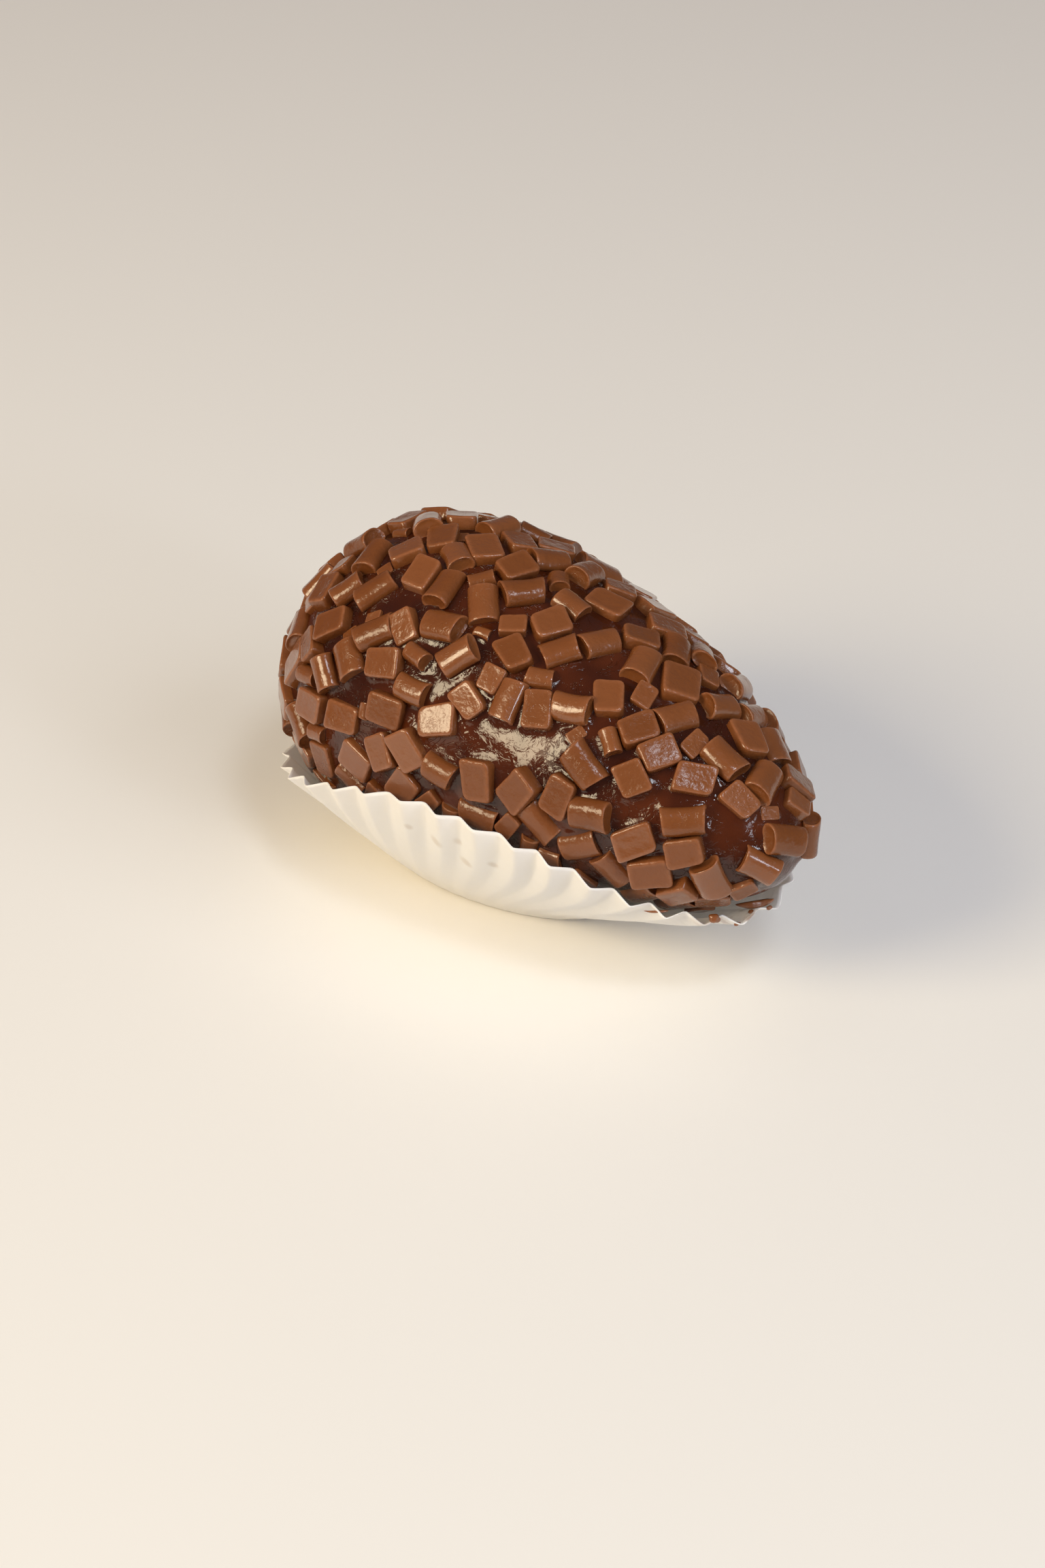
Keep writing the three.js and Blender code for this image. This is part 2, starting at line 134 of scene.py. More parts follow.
FLUTES = 38
WALL_CLEARANCE = 0.95  # from the bare egg to the wall at its foot
RIM_CLEARANCE = 1.8
BLUNT_FLARE = 0.8  # how much further out the rim stands round the blunt end's corners
RIM_TOP = 21.0
RIM_TOP_ALONG = 0.5
RIM_FALL_BLUNT = (13.7, 27.0, 2.0)  # drop, the reach over which it falls, and how suddenly
RIM_FALL_NARROW = (9.4, 24.4, 3.5)
RIM_SWELL = (0.35, 3, 1.1)  # height, waves round the rim, phase
FOOT_LEVEL = 2.3  # the base is as large as the hugging surface at this height
FOOT_ROUNDING = 5.0  # height over which the wall comes in to hug the egg
FOOT_FORWARD = 3.0  # how far the base lies towards the narrow end
FOOT_FORWARD_FADE = 1.5
FLUTE_DEPTH_RIM = 0.65
LINE_SAMPLES = 120
LEVEL_STEP = 0.4
HIGHEST_LEVEL = 30.0


# ---- Settings ----


def length_setting(name, millimetres, description):
    return bpy.props.FloatProperty(
        name=name,
        description=description,
        default=millimetres * MM,
        subtype="DISTANCE",
        unit="LENGTH",
        precision=5,
    )


def share_setting(name, default, description):
    return bpy.props.FloatProperty(
        name=name, description=description, default=default, min=0, max=1, subtype="FACTOR"
    )


def colour_setting(name, default, description):
    return bpy.props.FloatVectorProperty(
        name=name, description=description, default=default, size=3, min=0, max=1, subtype="COLOR"
    )


def size_setting(name, millimetres, description):
    return bpy.props.FloatVectorProperty(
        name=name,
        description=description,
        default=[side * MM for side in millimetres],
        size=3,
        subtype="XYZ_LENGTH",
        unit="LENGTH",
        precision=5,
    )


def power_setting(name, watts, description):
    return bpy.props.FloatProperty(name=name, description=description, default=watts, unit="POWER")


def seed_setting(default):
    return bpy.props.IntProperty(
        name="Seed", description="Another seed gives another pattern", default=default
    )


class BrigadeiroEggSettings(bpy.types.PropertyGroup):
    """Sizes and colours of the glossy chocolate egg."""

    ripple: length_setting("Ripple", 0.13, "Height of the soft ripples in the chocolate")
    crinkle: length_setting("Crinkle", 0.02, "Height of the small crinkles")
    meniscus: length_setting("Meniscus", 0.34, "How far the chocolate climbs the sprinkles")
    meniscus_width: length_setting("Meniscus width", 0.45, "How far from a sprinkle the climb starts")
    grid: bpy.props.IntProperty(
        name="Grid", description="Squares along each edge of the egg's six patches", default=125, min=8
    )
    dark: colour_setting("Dark", (0.034, 0.0068, 0.0023), "The chocolate where it lies thick")
    warm: colour_setting("Warm", (0.078, 0.0165, 0.0043), "The chocolate where it lies thin")
    roughness: share_setting("Roughness", 0.1, "Of the smooth chocolate")


class BrigadeiroSprinkleSettings(bpy.types.PropertyGroup):
    """Sizes and colours of the chopped milk chocolate."""

    block: size_setting("Block", (4.3, 3.4, 1.7), "Length, width and height of the pattern block")
    barrel: size_setting("Barrel", (4.3, 3.4, 2.1), "The same of the pattern barrel, a cut strand")
    shapes: bpy.props.IntProperty(
        name="Shapes", description="Different shapes of each kind", default=8, min=1
    )
    unevenness: length_setting("Unevenness", 0.07, "How far a face strays from its true shape")
    seed: seed_setting(7)
    dark: colour_setting("Dark", (0.138, 0.041, 0.0102), "The darkest sprinkles")
    light: colour_setting("Light", (0.216, 0.07, 0.02), "The lightest sprinkles")
    # The paler colour painted on the sprinkles' edges and cut rims is their painted highlight.
    worn: colour_setting("Painted edge highlight", (0.33, 0.122, 0.05), "Painted highlight on the edges and cut rims")
    roughness: share_setting("Roughness", 0.16, "Of the satin faces")


class BrigadeiroCaseSettings(bpy.types.PropertyGroup):
    """Sizes and colours of the fluted paper case."""

    flutes: bpy.props.IntProperty(name="Flutes", description="All the way round", default=FLUTES, min=3)
    depth_foot: length_setting("Depth at the foot", 0.04, "Half of a flute's depth at the foot")
    depth_rim: length_setting("Depth at the rim", FLUTE_DEPTH_RIM, "Half of a flute's depth at the rim")
    growth: bpy.props.FloatProperty(
        name="Growth", description="How late the flutes deepen on their way up", default=3.1, min=0.5
    )
    unevenness: share_setting("Unevenness", 0.22, "How much the flutes differ from each other")
    seed: seed_setting(3)
    thickness: length_setting("Thickness", 0.12, "Of the paper")
    paper: colour_setting("Paper", (0.94, 0.905, 0.85), "Clean paper")
    shade: colour_setting("Shade", (0.91, 0.87, 0.81), "Between the fibres")
    grease: colour_setting("Grease", (0.56, 0.44, 0.32), "Where fat has soaked in")
    stain: colour_setting("Stain", (0.2, 0.075, 0.03), "Where chocolate has rubbed off")


class BrigadeiroStageSettings(bpy.types.PropertyGroup):
    """The plain studio."""

    floor: colour_setting("Floor", (0.82, 0.8, 0.755), "The plain floor")
    key: power_setting("Key light", 4.4, "The warm light that the gloss mirrors")
    fill: power_setting("Fill light", 7.2, "The soft light from above")
    low: power_setting("Low light", 1.6, "The soft light on the case's wall")
    side: power_setting("Side light", 4.6, "The soft cool light beside the narrow end")
    cool: power_setting("Cool light", 1.2, "The small cool lights that the narrow end mirrors")


# ---- The egg's surface, in millimetres ----

HALF_LENGTH = EGG_LENGTH / 2


def outline_share(t):
    """Radius of the egg's outline at a share t of its half-length, as a share of its full size."""
    inside = np.maximum(0.0, 1.0 - np.abs(t) ** EGG_FULLNESS)
    return inside ** (1.0 / EGG_FULLNESS) * (1.0 - EGG_TAPER * t)


OUTLINE_TRIES = np.arange(401) / 200 - 1
WIDEST_SHARE_ALONG = float(OUTLINE_TRIES[np.argmax(outline_share(OUTLINE_TRIES))])
WIDEST_SHARE = float(outline_share(WIDEST_SHARE_ALONG))
RADIUS_SCALE = EGG_WIDTH / 2 / WIDEST_SHARE


def lump_height(t, angle):
    """Height of the soft dents and swellings."""
    upper = np.maximum(0.0, np.sin(angle))
    fade = np.sqrt(np.maximum(0.0, 1.0 - t * t)) * (LUMPS_IN_CASE + (1 - LUMPS_IN_CASE) * upper)
    return fade * sum(h * np.sin(along * t + turns * angle + phase) for h, along, turns, phase in LUMPS)


def underside_depth(t):
    return UNDERSIDE_SAG - TIP_LIFT * t


def egg_points(t, angle):
    """Points of the egg: t runs from -1, the blunt end, to 1, the narrow one, and angle round X."""
    radius = RADIUS_SCALE * outline_share(t) + lump_height(t, angle)
    lower = np.sin(angle) < 0
    slim = radius * np.where(lower, 1 - UNDERSIDE_KEEL * np.sin(2 * angle) ** 2, 1.0)
    depth = np.where(lower, underside_depth(t), 1.0)
    return np.stack(
        [HALF_LENGTH * t, slim * np.cos(angle), AXIS_HEIGHT + depth * slim * np.sin(angle)], axis=-1
    )


def unit(vectors):
    return vectors / np.maximum(np.linalg.norm(vectors, axis=-1, keepdims=True), 1e-12)


NORMAL_STEP = 0.004


def egg_normals(t, angle):
    step = NORMAL_STEP
    inner = np.clip(t, -1 + 2 * step, 1 - 2 * step)
    along = egg_points(inner + step, angle) - egg_points(inner - step, angle)
    around = egg_points(inner, angle + step) - egg_points(inner, angle - step)
    return unit(-np.cross(along, around))


# ---- The case's wall, in millimetres ----

HUG_HALF_LENGTH = HALF_LENGTH + WALL_CLEARANCE
HUG_RADIUS_SCALE = RADIUS_SCALE + WALL_CLEARANCE / WIDEST_SHARE
LEAST_HALF_WIDTH = 0.05
HALVINGS = 40


def level_line(height):
    """Half of the hugging surface's level line, from its +X end to its -X end, and its running length."""
    below = height < AXIS_HEIGHT

    def drop_at(t):
        """How far the line lies above or below the axis, as if the section were round."""
        drop = np.abs(height - AXIS_HEIGHT) / (underside_depth(t) if below else 1.0)
        return np.minimum(drop, HUG_RADIUS_SCALE * WIDEST_SHARE - LEAST_HALF_WIDTH)

    def end(outer):
        inside, outside = WIDEST_SHARE_ALONG, outer
        for _ in range(HALVINGS):
            middle = (inside + outside) / 2
            if HUG_RADIUS_SCALE * outline_share(middle) > drop_at(middle):
                inside = middle
            else:
                outside = middle
        return inside

    front, back = end(1.0), end(-1.0)
    turns = np.pi * np.arange(LINE_SAMPLES + 1) / LINE_SAMPLES
    t = (front + back) / 2 + (front - back) / 2 * np.cos(turns)
    radius = HUG_RADIUS_SCALE * outline_share(t)
    half = np.sqrt(np.maximum(0.0, radius**2 - drop_at(t) ** 2))
    half[[0, -1]] = 0.0
    keel = 1 - UNDERSIDE_KEEL * np.sin(2 * np.arctan2(drop_at(t), half)) ** 2 if below else 1.0
    points = np.stack([HUG_HALF_LENGTH * t, half * keel], axis=-1)
    steps = np.linalg.norm(np.diff(points, axis=0), axis=-1)
    return points, np.concatenate([[0.0], np.cumsum(steps)])


def rim_heights(x, share):
    """How high the rim stands: highest near the middle, and falling to both ends."""
    blunt = x < RIM_TOP_ALONG
    drop, reach, power = (np.where(blunt, *pair) for pair in zip(RIM_FALL_BLUNT, RIM_FALL_NARROW))
    swell, waves, phase = RIM_SWELL
    bow = drop * (1 - np.exp(-((np.abs(x - RIM_TOP_ALONG) / reach) ** power)))
    return RIM_TOP - bow + swell * np.sin(2 * np.pi * waves * share + phase)


def wall_trails(shares):
    """The wall's columns at these shares of the way round, from foot to rim, with running lengths."""
    way = np.where(shares <= 0.5, shares, 1 - shares) * 2
    side = np.where(shares <= 0.5, 1.0, -1.0)
    heights = np.arange(round(HIGHEST_LEVEL / LEVEL_STEP) + 1) * LEVEL_STEP
    levels = np.zeros((len(heights), len(shares), 3))
    for row, height in enumerate(heights):
        footness = math.exp(-height / FOOT_ROUNDING)
        points, lengths = level_line(height + FOOT_LEVEL * footness)
        levels[row, :, 0] = np.interp(way * lengths[-1], lengths, points[:, 0])
        levels[row, :, 0] += FOOT_FORWARD * footness**FOOT_FORWARD_FADE
        levels[row, :, 1] = side * np.interp(way * lengths[-1], lengths, points[:, 1])
        levels[row, :, 2] = height
    room = rim_heights(levels[..., 0], shares) - levels[..., 2]
    trails = []
    for i, top in enumerate(np.argmax(room < 0, axis=0)):
        trail = levels[: top + 1, i].copy()
        share = room[top - 1, i] / (room[top - 1, i] - room[top, i])
        trail[-1] = trail[-2] + (trail[-1] - trail[-2]) * share
        steps = np.linalg.norm(np.diff(trail, axis=0), axis=-1)
        trails.append((trail, np.concatenate([[0.0], np.cumsum(steps)])))
    return trails


def points_on_trails(trails, part):
    """One point on each trail, at a part of the way up it."""
    return np.array(
        [
            [np.interp(part * lengths[-1], lengths, trail[:, axis]) for axis in range(3)]
            for trail, lengths in trails
        ]
    )


# ---- Where the sprinkles lie, in millimetres ----


def make_draws(seed, count):
    """The same draws every time: a linear congruential generator."""
    state = seed
    draws = np.empty(count)
    for i in range(count):
        state = (DRAW_FACTOR * state + DRAW_STEP) % DRAW_RANGE
        draws[i] = state / DRAW_RANGE
    return draws


def rim_heights_near(points):
    """The rim's height beside each point."""
    shares = np.arange(2 * FLUTES) / (2 * FLUTES)
    rim = np.array([trail[-1] for trail, _ in wall_trails(shares)])
    gaps = np.linalg.norm(points[:, None, :2] - rim[None, :, :2], axis=-1)
    return rim[np.argmin(gaps, axis=1), 2]


def in_bare_patch(points, t):
    """Whether each point lies where the chocolate stays bare."""
    angle = np.arctan2(points[:, 2] - AXIS_HEIGHT, points[:, 1])
    inside = np.zeros(len(points), bool)
    for along, patch_angle, half_length, half_width in BARE_PATCHES:
        turn = angle - math.radians(patch_angle)
        nearest = np.arctan2(np.sin(turn), np.cos(turn))
        across = RADIUS_SCALE * outline_share(t) * nearest / half_width
        inside |= np.hypot((points[:, 0] - along) / half_length, across) < 1
    return inside


def overlaps(along, across, size, ground, near):
    """Whether a footprint overlaps any near one: it does unless one of their four sides parts them."""
    apart = near["ground"] - ground
    near_length, near_width = near["size"][:, 0], near["size"][:, 1]
    length, width = size[0], size[1]
    aa = np.abs(near["along"] @ along)
    ac = np.abs(near["across"] @ along)
    ca = np.abs(near["along"] @ across)
    cc = np.abs(near["across"] @ across)
    gaps = [
        np.abs(apart @ along) - (length + near_length * aa + near_width * ac) / 2,
        np.abs(apart @ across) - (width + near_length * ca + near_width * cc) / 2,
        np.abs((apart * near["along"]).sum(1)) - (near_length + length * aa + width * ca) / 2,
        np.abs((apart * near["across"]).sum(1)) - (near_width + length * ac + width * cc) / 2,
    ]
    return bool(np.any(np.max(gaps, axis=0) <= NEIGHBOUR_GAP))


def between(limits, share):
    return limits[0] + (limits[1] - limits[0]) * share


def turn_about(axis, angle):
    return np.array(Matrix.Rotation(angle, 3, axis))


@functools.cache
def scatter_sprinkles():
    """Every sprinkle's footprint, size, centre and turn: those of the solid, then the filling ones."""
    passes = SPRINKLE_PASSES + FILLING_PASSES
    tries = sum(p[0] for p in passes)
    draws = make_draws(SPRINKLE_SEED, tries * DRAWS_EACH).reshape(tries, DRAWS_EACH)
    along_egg, round_egg, first_turn, longer, wider, kind, higher, roll, pitch, deeper = draws.T
    sizes = np.empty((tries, 3))
    first = 0
    for count, *ranges in passes:
        these = slice(first, first + count)
        for axis, (limits, shares) in enumerate(zip(ranges, (longer, wider, higher))):
            sizes[these, axis] = between(limits, shares[these])
        first += count
    t = 2 * along_egg - 1
    angle = 2 * np.pi * round_egg
    ground = egg_points(t, angle)
    normal = egg_normals(t, angle)
    level = unit(np.array([1.0, 0.0, 0.0]) - normal * normal[:, :1])
    above_rim = ground[:, 2] - rim_heights_near(ground)
    filling = np.arange(tries) >= sum(p[0] for p in SPRINKLE_PASSES)
    lowest = np.where(filling, FILLING_BELOW_RIM, SPRINKLE_BELOW_RIM)
    wanted = (above_rim >= -lowest) & ~in_bare_patch(ground, t)
    placed = {key: np.empty((0, 3)) for key in ("ground", "along", "across", "size", "centre")}
    turns, barrels = [], []
    for i in np.flatnonzero(wanted):
        close = np.linalg.norm(placed["ground"] - ground[i], axis=1) < NEIGHBOUR_REACH
        near = {key: placed[key][close] for key in ("ground", "along", "across", "size")}
        for spin in range(SPINS_TRIED):
            turn = math.pi * (first_turn[i] + spin / SPINS_TRIED)
            sideways = np.cross(normal[i], level[i])
            along = level[i] * math.cos(turn) + sideways * math.sin(turn)
            across = np.cross(normal[i], along)
            if not overlaps(along, across, sizes[i], ground[i], near):
                break
        else:
            continue
        barrel = kind[i] < BARREL_SHARE
        height = sizes[i, 2] * (BARREL_HEIGHT if barrel else 1.0)
        pressed = above_rim[i] < NEAR_CASE
        tilt = SPRINKLE_TILT * (PRESSED_LEAN if pressed else 1.0)
        lean = turn_about("X", tilt * (2 * roll[i] - 1)) @ turn_about("Y", tilt * (2 * pitch[i] - 1))
        sink = max(between(SPRINKLE_SINK, deeper[i]), height - PRESSED_HEIGHT if pressed else 0.0)
        row = {
            "ground": ground[i],
            "along": along,
            "across": across,
            "size": [sizes[i, 0], sizes[i, 1], height],
            "centre": ground[i] + normal[i] * (height / 2 - sink),
        }
        for key, value in row.items():
            placed[key] = np.vstack([placed[key], value])
        turns.append(np.stack([along, across, normal[i]], axis=1) @ lean)
        barrels.append(barrel)
    return {**placed, "turn": np.array(turns), "barrel": np.array(barrels)}


# ---- Node trees ----


class Wire:
    """A socket of a node tree. Arithmetic on it adds Math nodes."""

    def __init__(self, tree, socket):
        self.tree = tree
        self.socket = socket

    def _with(self, operation, first, second):
        return self.tree.calculate(operation, first, second)

    def __add__(self, other):
        return self._with("ADD", self, other)

    def __radd__(self, other):
        return self._with("ADD", other, self)

    def __sub__(self, other):
        return self._with("SUBTRACT", self, other)

    def __rsub__(self, other):
        return self._with("SUBTRACT", other, self)

    def __mul__(self, other):
        return self._with("MULTIPLY", self, other)

    def __rmul__(self, other):
        return self._with("MULTIPLY", other, self)

    def __truediv__(self, other):
        return self._with("DIVIDE", self, other)

    def __rtruediv__(self, other):
        return self._with("DIVIDE", other, self)

    def __pow__(self, other):
        return self._with("POWER", self, other)


class Tree:
    """A node tree that is built by adding nodes."""

    def __init__(self, nodes):
        self.nodes = nodes

    def add(self, kind, settings=None, sockets=None, out=0):
        """Adds a node, its settings first, then its sockets' values or links. Returns one output."""
        node = self.nodes.nodes.new(kind)
        for name, value in (settings or {}).items():
            setattr(node, name, value)
        for key, value in (sockets or {}).items():
            if isinstance(value, Wire):
                self.nodes.links.new(value.socket, node.inputs[key])
            else:
                node.inputs[key].default_value = value
        return Wire(self, node.outputs[out]) if node.outputs else node

    def calculate(self, operation, *values):
        return self.add("ShaderNodeMath", {"operation": operation}, dict(enumerate(values)))

    def step(self, value, low, high):
        """0 below low, 1 above high and smooth between them; low may be the larger."""
        return self.add(
            "ShaderNodeMapRange", {"interpolation_type": "SMOOTHSTEP"}, {0: value, 1: low, 2: high}
        )

    def mix(self, factor, first, second):
        """A colour between two."""
        return self.add("ShaderNodeMix", {"data_type": "RGBA"}, {0: factor, 6: first, 7: second}, out=2)

    def scaled(self, vector, factor):
        return self.add("ShaderNodeVectorMath", {"operation": "SCALE"}, {0: vector, "Scale": factor})


class GeometryTree(Tree):
    """A Geometry Nodes tree with one output; given holds a wire for each of its inputs."""

    def __init__(self, name, inputs, output):
        super().__init__(bpy.data.node_groups.new(name, "GeometryNodeTree"))
        sockets = self.nodes.interface
        for label, kind in inputs.items():
            sockets.new_socket(label, in_out="INPUT", socket_type="NodeSocket" + kind)
        sockets.new_socket(output, in_out="OUTPUT", socket_type="NodeSocketGeometry")
        source = self.nodes.nodes.new("NodeGroupInput")
        self.given = {socket.name: Wire(self, socket) for socket in source.outputs}
        self.output = output

    def stored(self, kind, name):
        """The attribute of this name that the mesh has."""
        return self.add("GeometryNodeInputNamedAttribute", {"data_type": kind}, {"Name": name})

    def end(self, geometry):
        """Gives the geometry its finish and ends the tree."""
        sockets = {"Geometry": geometry, "Material": self.given["Finish"]}
        finished = self.add("GeometryNodeSetMaterial", None, sockets)
        self.add("NodeGroupOutput", None, {self.output: finished})
        return self.nodes


def opaque(colour):
    return (*colour, 1.0)


class Finish(Tree):
    """A material whose varying values feed one shader."""

    def __init__(self, name, constants):
        self.material = bpy.data.materials.new(name)
        self.material.use_nodes = True
        super().__init__(self.material.node_tree)
        self.shader = self.nodes.nodes["Principled BSDF"]
        for socket, value in constants.items():
            self.shader.inputs[socket].default_value = value
        self.place = self.add("ShaderNodeTexCoord", out=3)

    def attribute(self, name):
        return self.add("ShaderNodeAttribute", {"attribute_name": name}, out=2)

    def grain(self, size, detail=2.0, roughness=0.5, distortion=0.0):
        """Noise from 0 to 1 with features about this size, in millimetres."""
        return self.add(
            "ShaderNodeTexNoise",
            None,
            {
                "Vector": self.place,
                "Scale": 1 / (size * MM),
                "Detail": detail,
                "Roughness": roughness,
                "Distortion": distortion,
            },
        )

    def feed(self, socket, wire):
        self.nodes.links.new(wire.socket, self.shader.inputs[socket])

    def creases(self, size, width):
        """1 on the flats of a drying skin and 0 in its fine, scattered, crooked creases."""
        line = self.grain(size, detail=3, roughness=0.6, distortion=1.0)
        patch = self.step(self.grain(2.5 * size, detail=1), 0.4, 0.6)
        return 1 - patch * self.step(self.calculate("ABSOLUTE", line - 0.5), width, 0.0)

    def relief(self, heights):
        """Bumps, each a height from 0 to 1 and its full depth in millimetres, one over the other."""
        normal = None
        for height, depth in heights:
            sockets = {"Height": height, "Distance": depth * MM}
            if normal:
                sockets["Normal"] = normal
            normal = self.add("ShaderNodeBump", None, sockets)
        self.feed("Normal", normal)


def glossy_chocolate(settings):
    """The soft dark chocolate: mirror-smooth, with slow waves and the fine creases of a drying skin."""
    finish = Finish("glossy_chocolate", {"IOR": 1.44, "Coat Roughness": 0.04})
    thin = finish.step(finish.grain(7.0), 0.35, 0.7)
    finish.feed("Base Color", finish.mix(thin, opaque(settings.dark), opaque(settings.warm)))
    dull = finish.grain(2.8)
    finish.feed("Roughness", settings.roughness + 0.12 * finish.step(dull, 0.5, 0.8))
    finish.feed("Coat Weight", 0.2 * finish.step(dull, 0.7, 0.4))
    finish.relief(
        [
            (finish.grain(4.2), 0.26),
            (finish.creases(2.4, 0.025), 0.05),
            (finish.grain(1.1, detail=3, distortion=0.8), 0.09),
        ]
    )
    return finish.material


def chopped_chocolate(settings):
    """Milk chocolate sprinkles: satin, each its own shade, with a paler colour painted on their edges and
    cut rims as a highlight.
    """
    finish = Finish("chopped_milk_chocolate", {"IOR": 1.47, "Coat Roughness": 0.07})
    tone = finish.attribute("tone")
    worn = finish.attribute("worn")
    cloud = finish.grain(1.7, detail=4)
    shade = finish.mix(0.75 * tone + 0.25 * cloud, opaque(settings.dark), opaque(settings.light))
    speck = finish.step(finish.grain(0.5, detail=3), 0.35, 0.7)
    # Painted highlight: edges and cut rims are mixed, in specks, towards the paler colour.
    highlighted = worn * (0.3 + 0.3 * speck)
    finish.feed("Base Color", finish.mix(highlighted, shade, opaque(settings.worn)))
    finish.feed("Roughness", settings.roughness + 0.14 * cloud)
    finish.feed("Coat Weight", 0.6 * finish.step(tone, 0.2, 0.8))
    finish.relief(
        [
            (finish.grain(1.2), 0.08),
            (finish.creases(1.7, 0.04), 0.012),
            (finish.grain(0.6, detail=3, roughness=0.6), 0.045),
        ]
    )
    return finish.material


GREASE_SPOTS = [  # places on the wall and their radii, in millimetres
    ((-3.2, -20.5, 16.9), 0.5),
    ((0.2, -19.7, 16.0), 0.8),
    ((3.0, -18.8, 17.2), 0.6),
    ((3.1, -17.9, 13.6), 0.8),
    ((6.9, -17.4, 15.0), 0.6),
]


def fluted_paper(settings):
    """Thin paper: warm white fibres, a few grease spots and chocolate on the rim at the narrow end."""
    finish = Finish(
        "fluted_paper",
        {
            "IOR": 1.45,
            "Subsurface Weight": 0.3,
            "Subsurface Radius": (1.0, 0.85, 0.7),
            "Subsurface Scale": 0.002,
            "Specular IOR Level": 0.35,
        },
    )
    fibre = finish.grain(1.1, detail=5, roughness=0.65)
    colour = finish.mix(fibre, opaque(settings.shade), opaque(settings.paper))
    for place, radius in GREASE_SPOTS:
        away = finish.add(
            "ShaderNodeVectorMath",
            {"operation": "DISTANCE"},
            {0: finish.place, 1: [side * MM for side in place]},
            out=1,
        )
        spot = 0.4 * finish.step(away, 1.5 * radius * MM, 0.4 * radius * MM)
        colour = finish.mix(spot, colour, opaque(settings.grease))
    smudge = finish.attribute("stained") * finish.step(finish.grain(2.4, detail=3), 0.42, 0.62)
    finish.feed("Base Color", finish.mix(0.8 * smudge, colour, opaque(settings.stain)))
    finish.feed("Roughness", 0.52 + 0.2 * fibre - 0.2 * smudge)
    finish.relief([(finish.grain(4.0), 0.05), (finish.grain(0.5, detail=4, roughness=0.6), 0.008)])
    return finish.material


# ---- Meshes ----


def new_piece(name, vertices, faces, attributes=None):
    """An object at the origin, from points in millimetres."""
    mesh = bpy.data.meshes.new(name)
    mesh.from_pydata((np.asarray(vertices) * MM).tolist(), [], faces)
    for key, values in (attributes or {}).items():
        values = np.asarray(values, np.float32)
        vector = values.ndim == 2
        layer = mesh.attributes.new(key, "FLOAT_VECTOR" if vector else "FLOAT", "POINT")
        layer.data.foreach_set("vector" if vector else "value", values.ravel())
    mesh.shade_smooth()
    piece = bpy.data.objects.new(name, mesh)
    bpy.context.scene.collection.objects.link(piece)
    return piece


def point_outwards(piece):
    """Merges doubled points and turns every face outwards."""
    work = bmesh.new()
    work.from_mesh(piece.data)
    bmesh.ops.remove_doubles(work, verts=work.verts, dist=1e-7)
    bmesh.ops.recalc_face_normals(work, faces=work.faces)
    work.to_mesh(piece.data)
    work.free()


def made_plain(piece):
    """The piece with its modifiers turned into mesh."""
    graph = bpy.context.evaluated_depsgraph_get()
    mesh = bpy.data.meshes.new_from_object(
        piece.evaluated_get(graph), preserve_all_data_layers=True, depsgraph=graph
    )
    piece.modifiers.clear()
    old = piece.data
    piece.data = mesh
    bpy.data.meshes.remove(old)
    mesh.name = piece.name
    return piece


def cube_sphere(squares):
    """Unit directions of a sphere made of six square patches, and its faces."""
    steps = np.tan(np.linspace(-np.pi / 4, np.pi / 4, squares + 1))
    u, v = np.meshgrid(steps, steps, indexing="ij")
    one = np.ones_like(u)
    sides = [(one, u, v), (-one, v, u), (u, -one, v), (v, one, u), (u, v, one), (v, u, -one)]
    points = np.concatenate([np.stack(side, axis=-1).reshape(-1, 3) for side in sides])
    row = squares + 1
    corner = (np.arange(squares)[:, None] * row + np.arange(squares)[None, :]).ravel()
    patch = np.stack([corner, corner + row, corner + row + 1, corner + 1], axis=1)
    faces = np.concatenate([patch + side * row * row for side in range(6)])
    _, first, whole = np.unique(np.round(points, 9), axis=0, return_index=True, return_inverse=True)
    return unit(points[first]), whole.ravel()[faces].tolist()


def noise_at(points, size, offset=0.0):
    """Smooth noise from -1 to 1 with features of this size, both in millimetres."""
    return np.array([noise.noise(Vector(p)) for p in (np.asarray(points) / size + offset)])


def rounded_distance(local, half_size, radius):
    """Distance outside a rounded rectangle, 0 inside it."""
    reach = np.abs(local) - (half_size - radius)
    outside = np.linalg.norm(np.maximum(reach, 0.0), axis=-1)
    return np.maximum(outside - radius, 0.0)


# ---- Pieces ----


RIPPLE_SIZE = 5.0
CRINKLE_SIZE = 1.6
MENISCUS_REACH = 6.0  # past this from a sprinkle's middle the chocolate doesn't climb to it
MENISCUS_SIZE = 2.4  # over which its height changes
FOOTPRINT_ROUNDING = 0.6
SMOOTH_BELOW, UNEVEN_ABOVE = 2.0, 10.0  # the case holds the underside smooth
LEAST_UNEVENNESS = 0.1


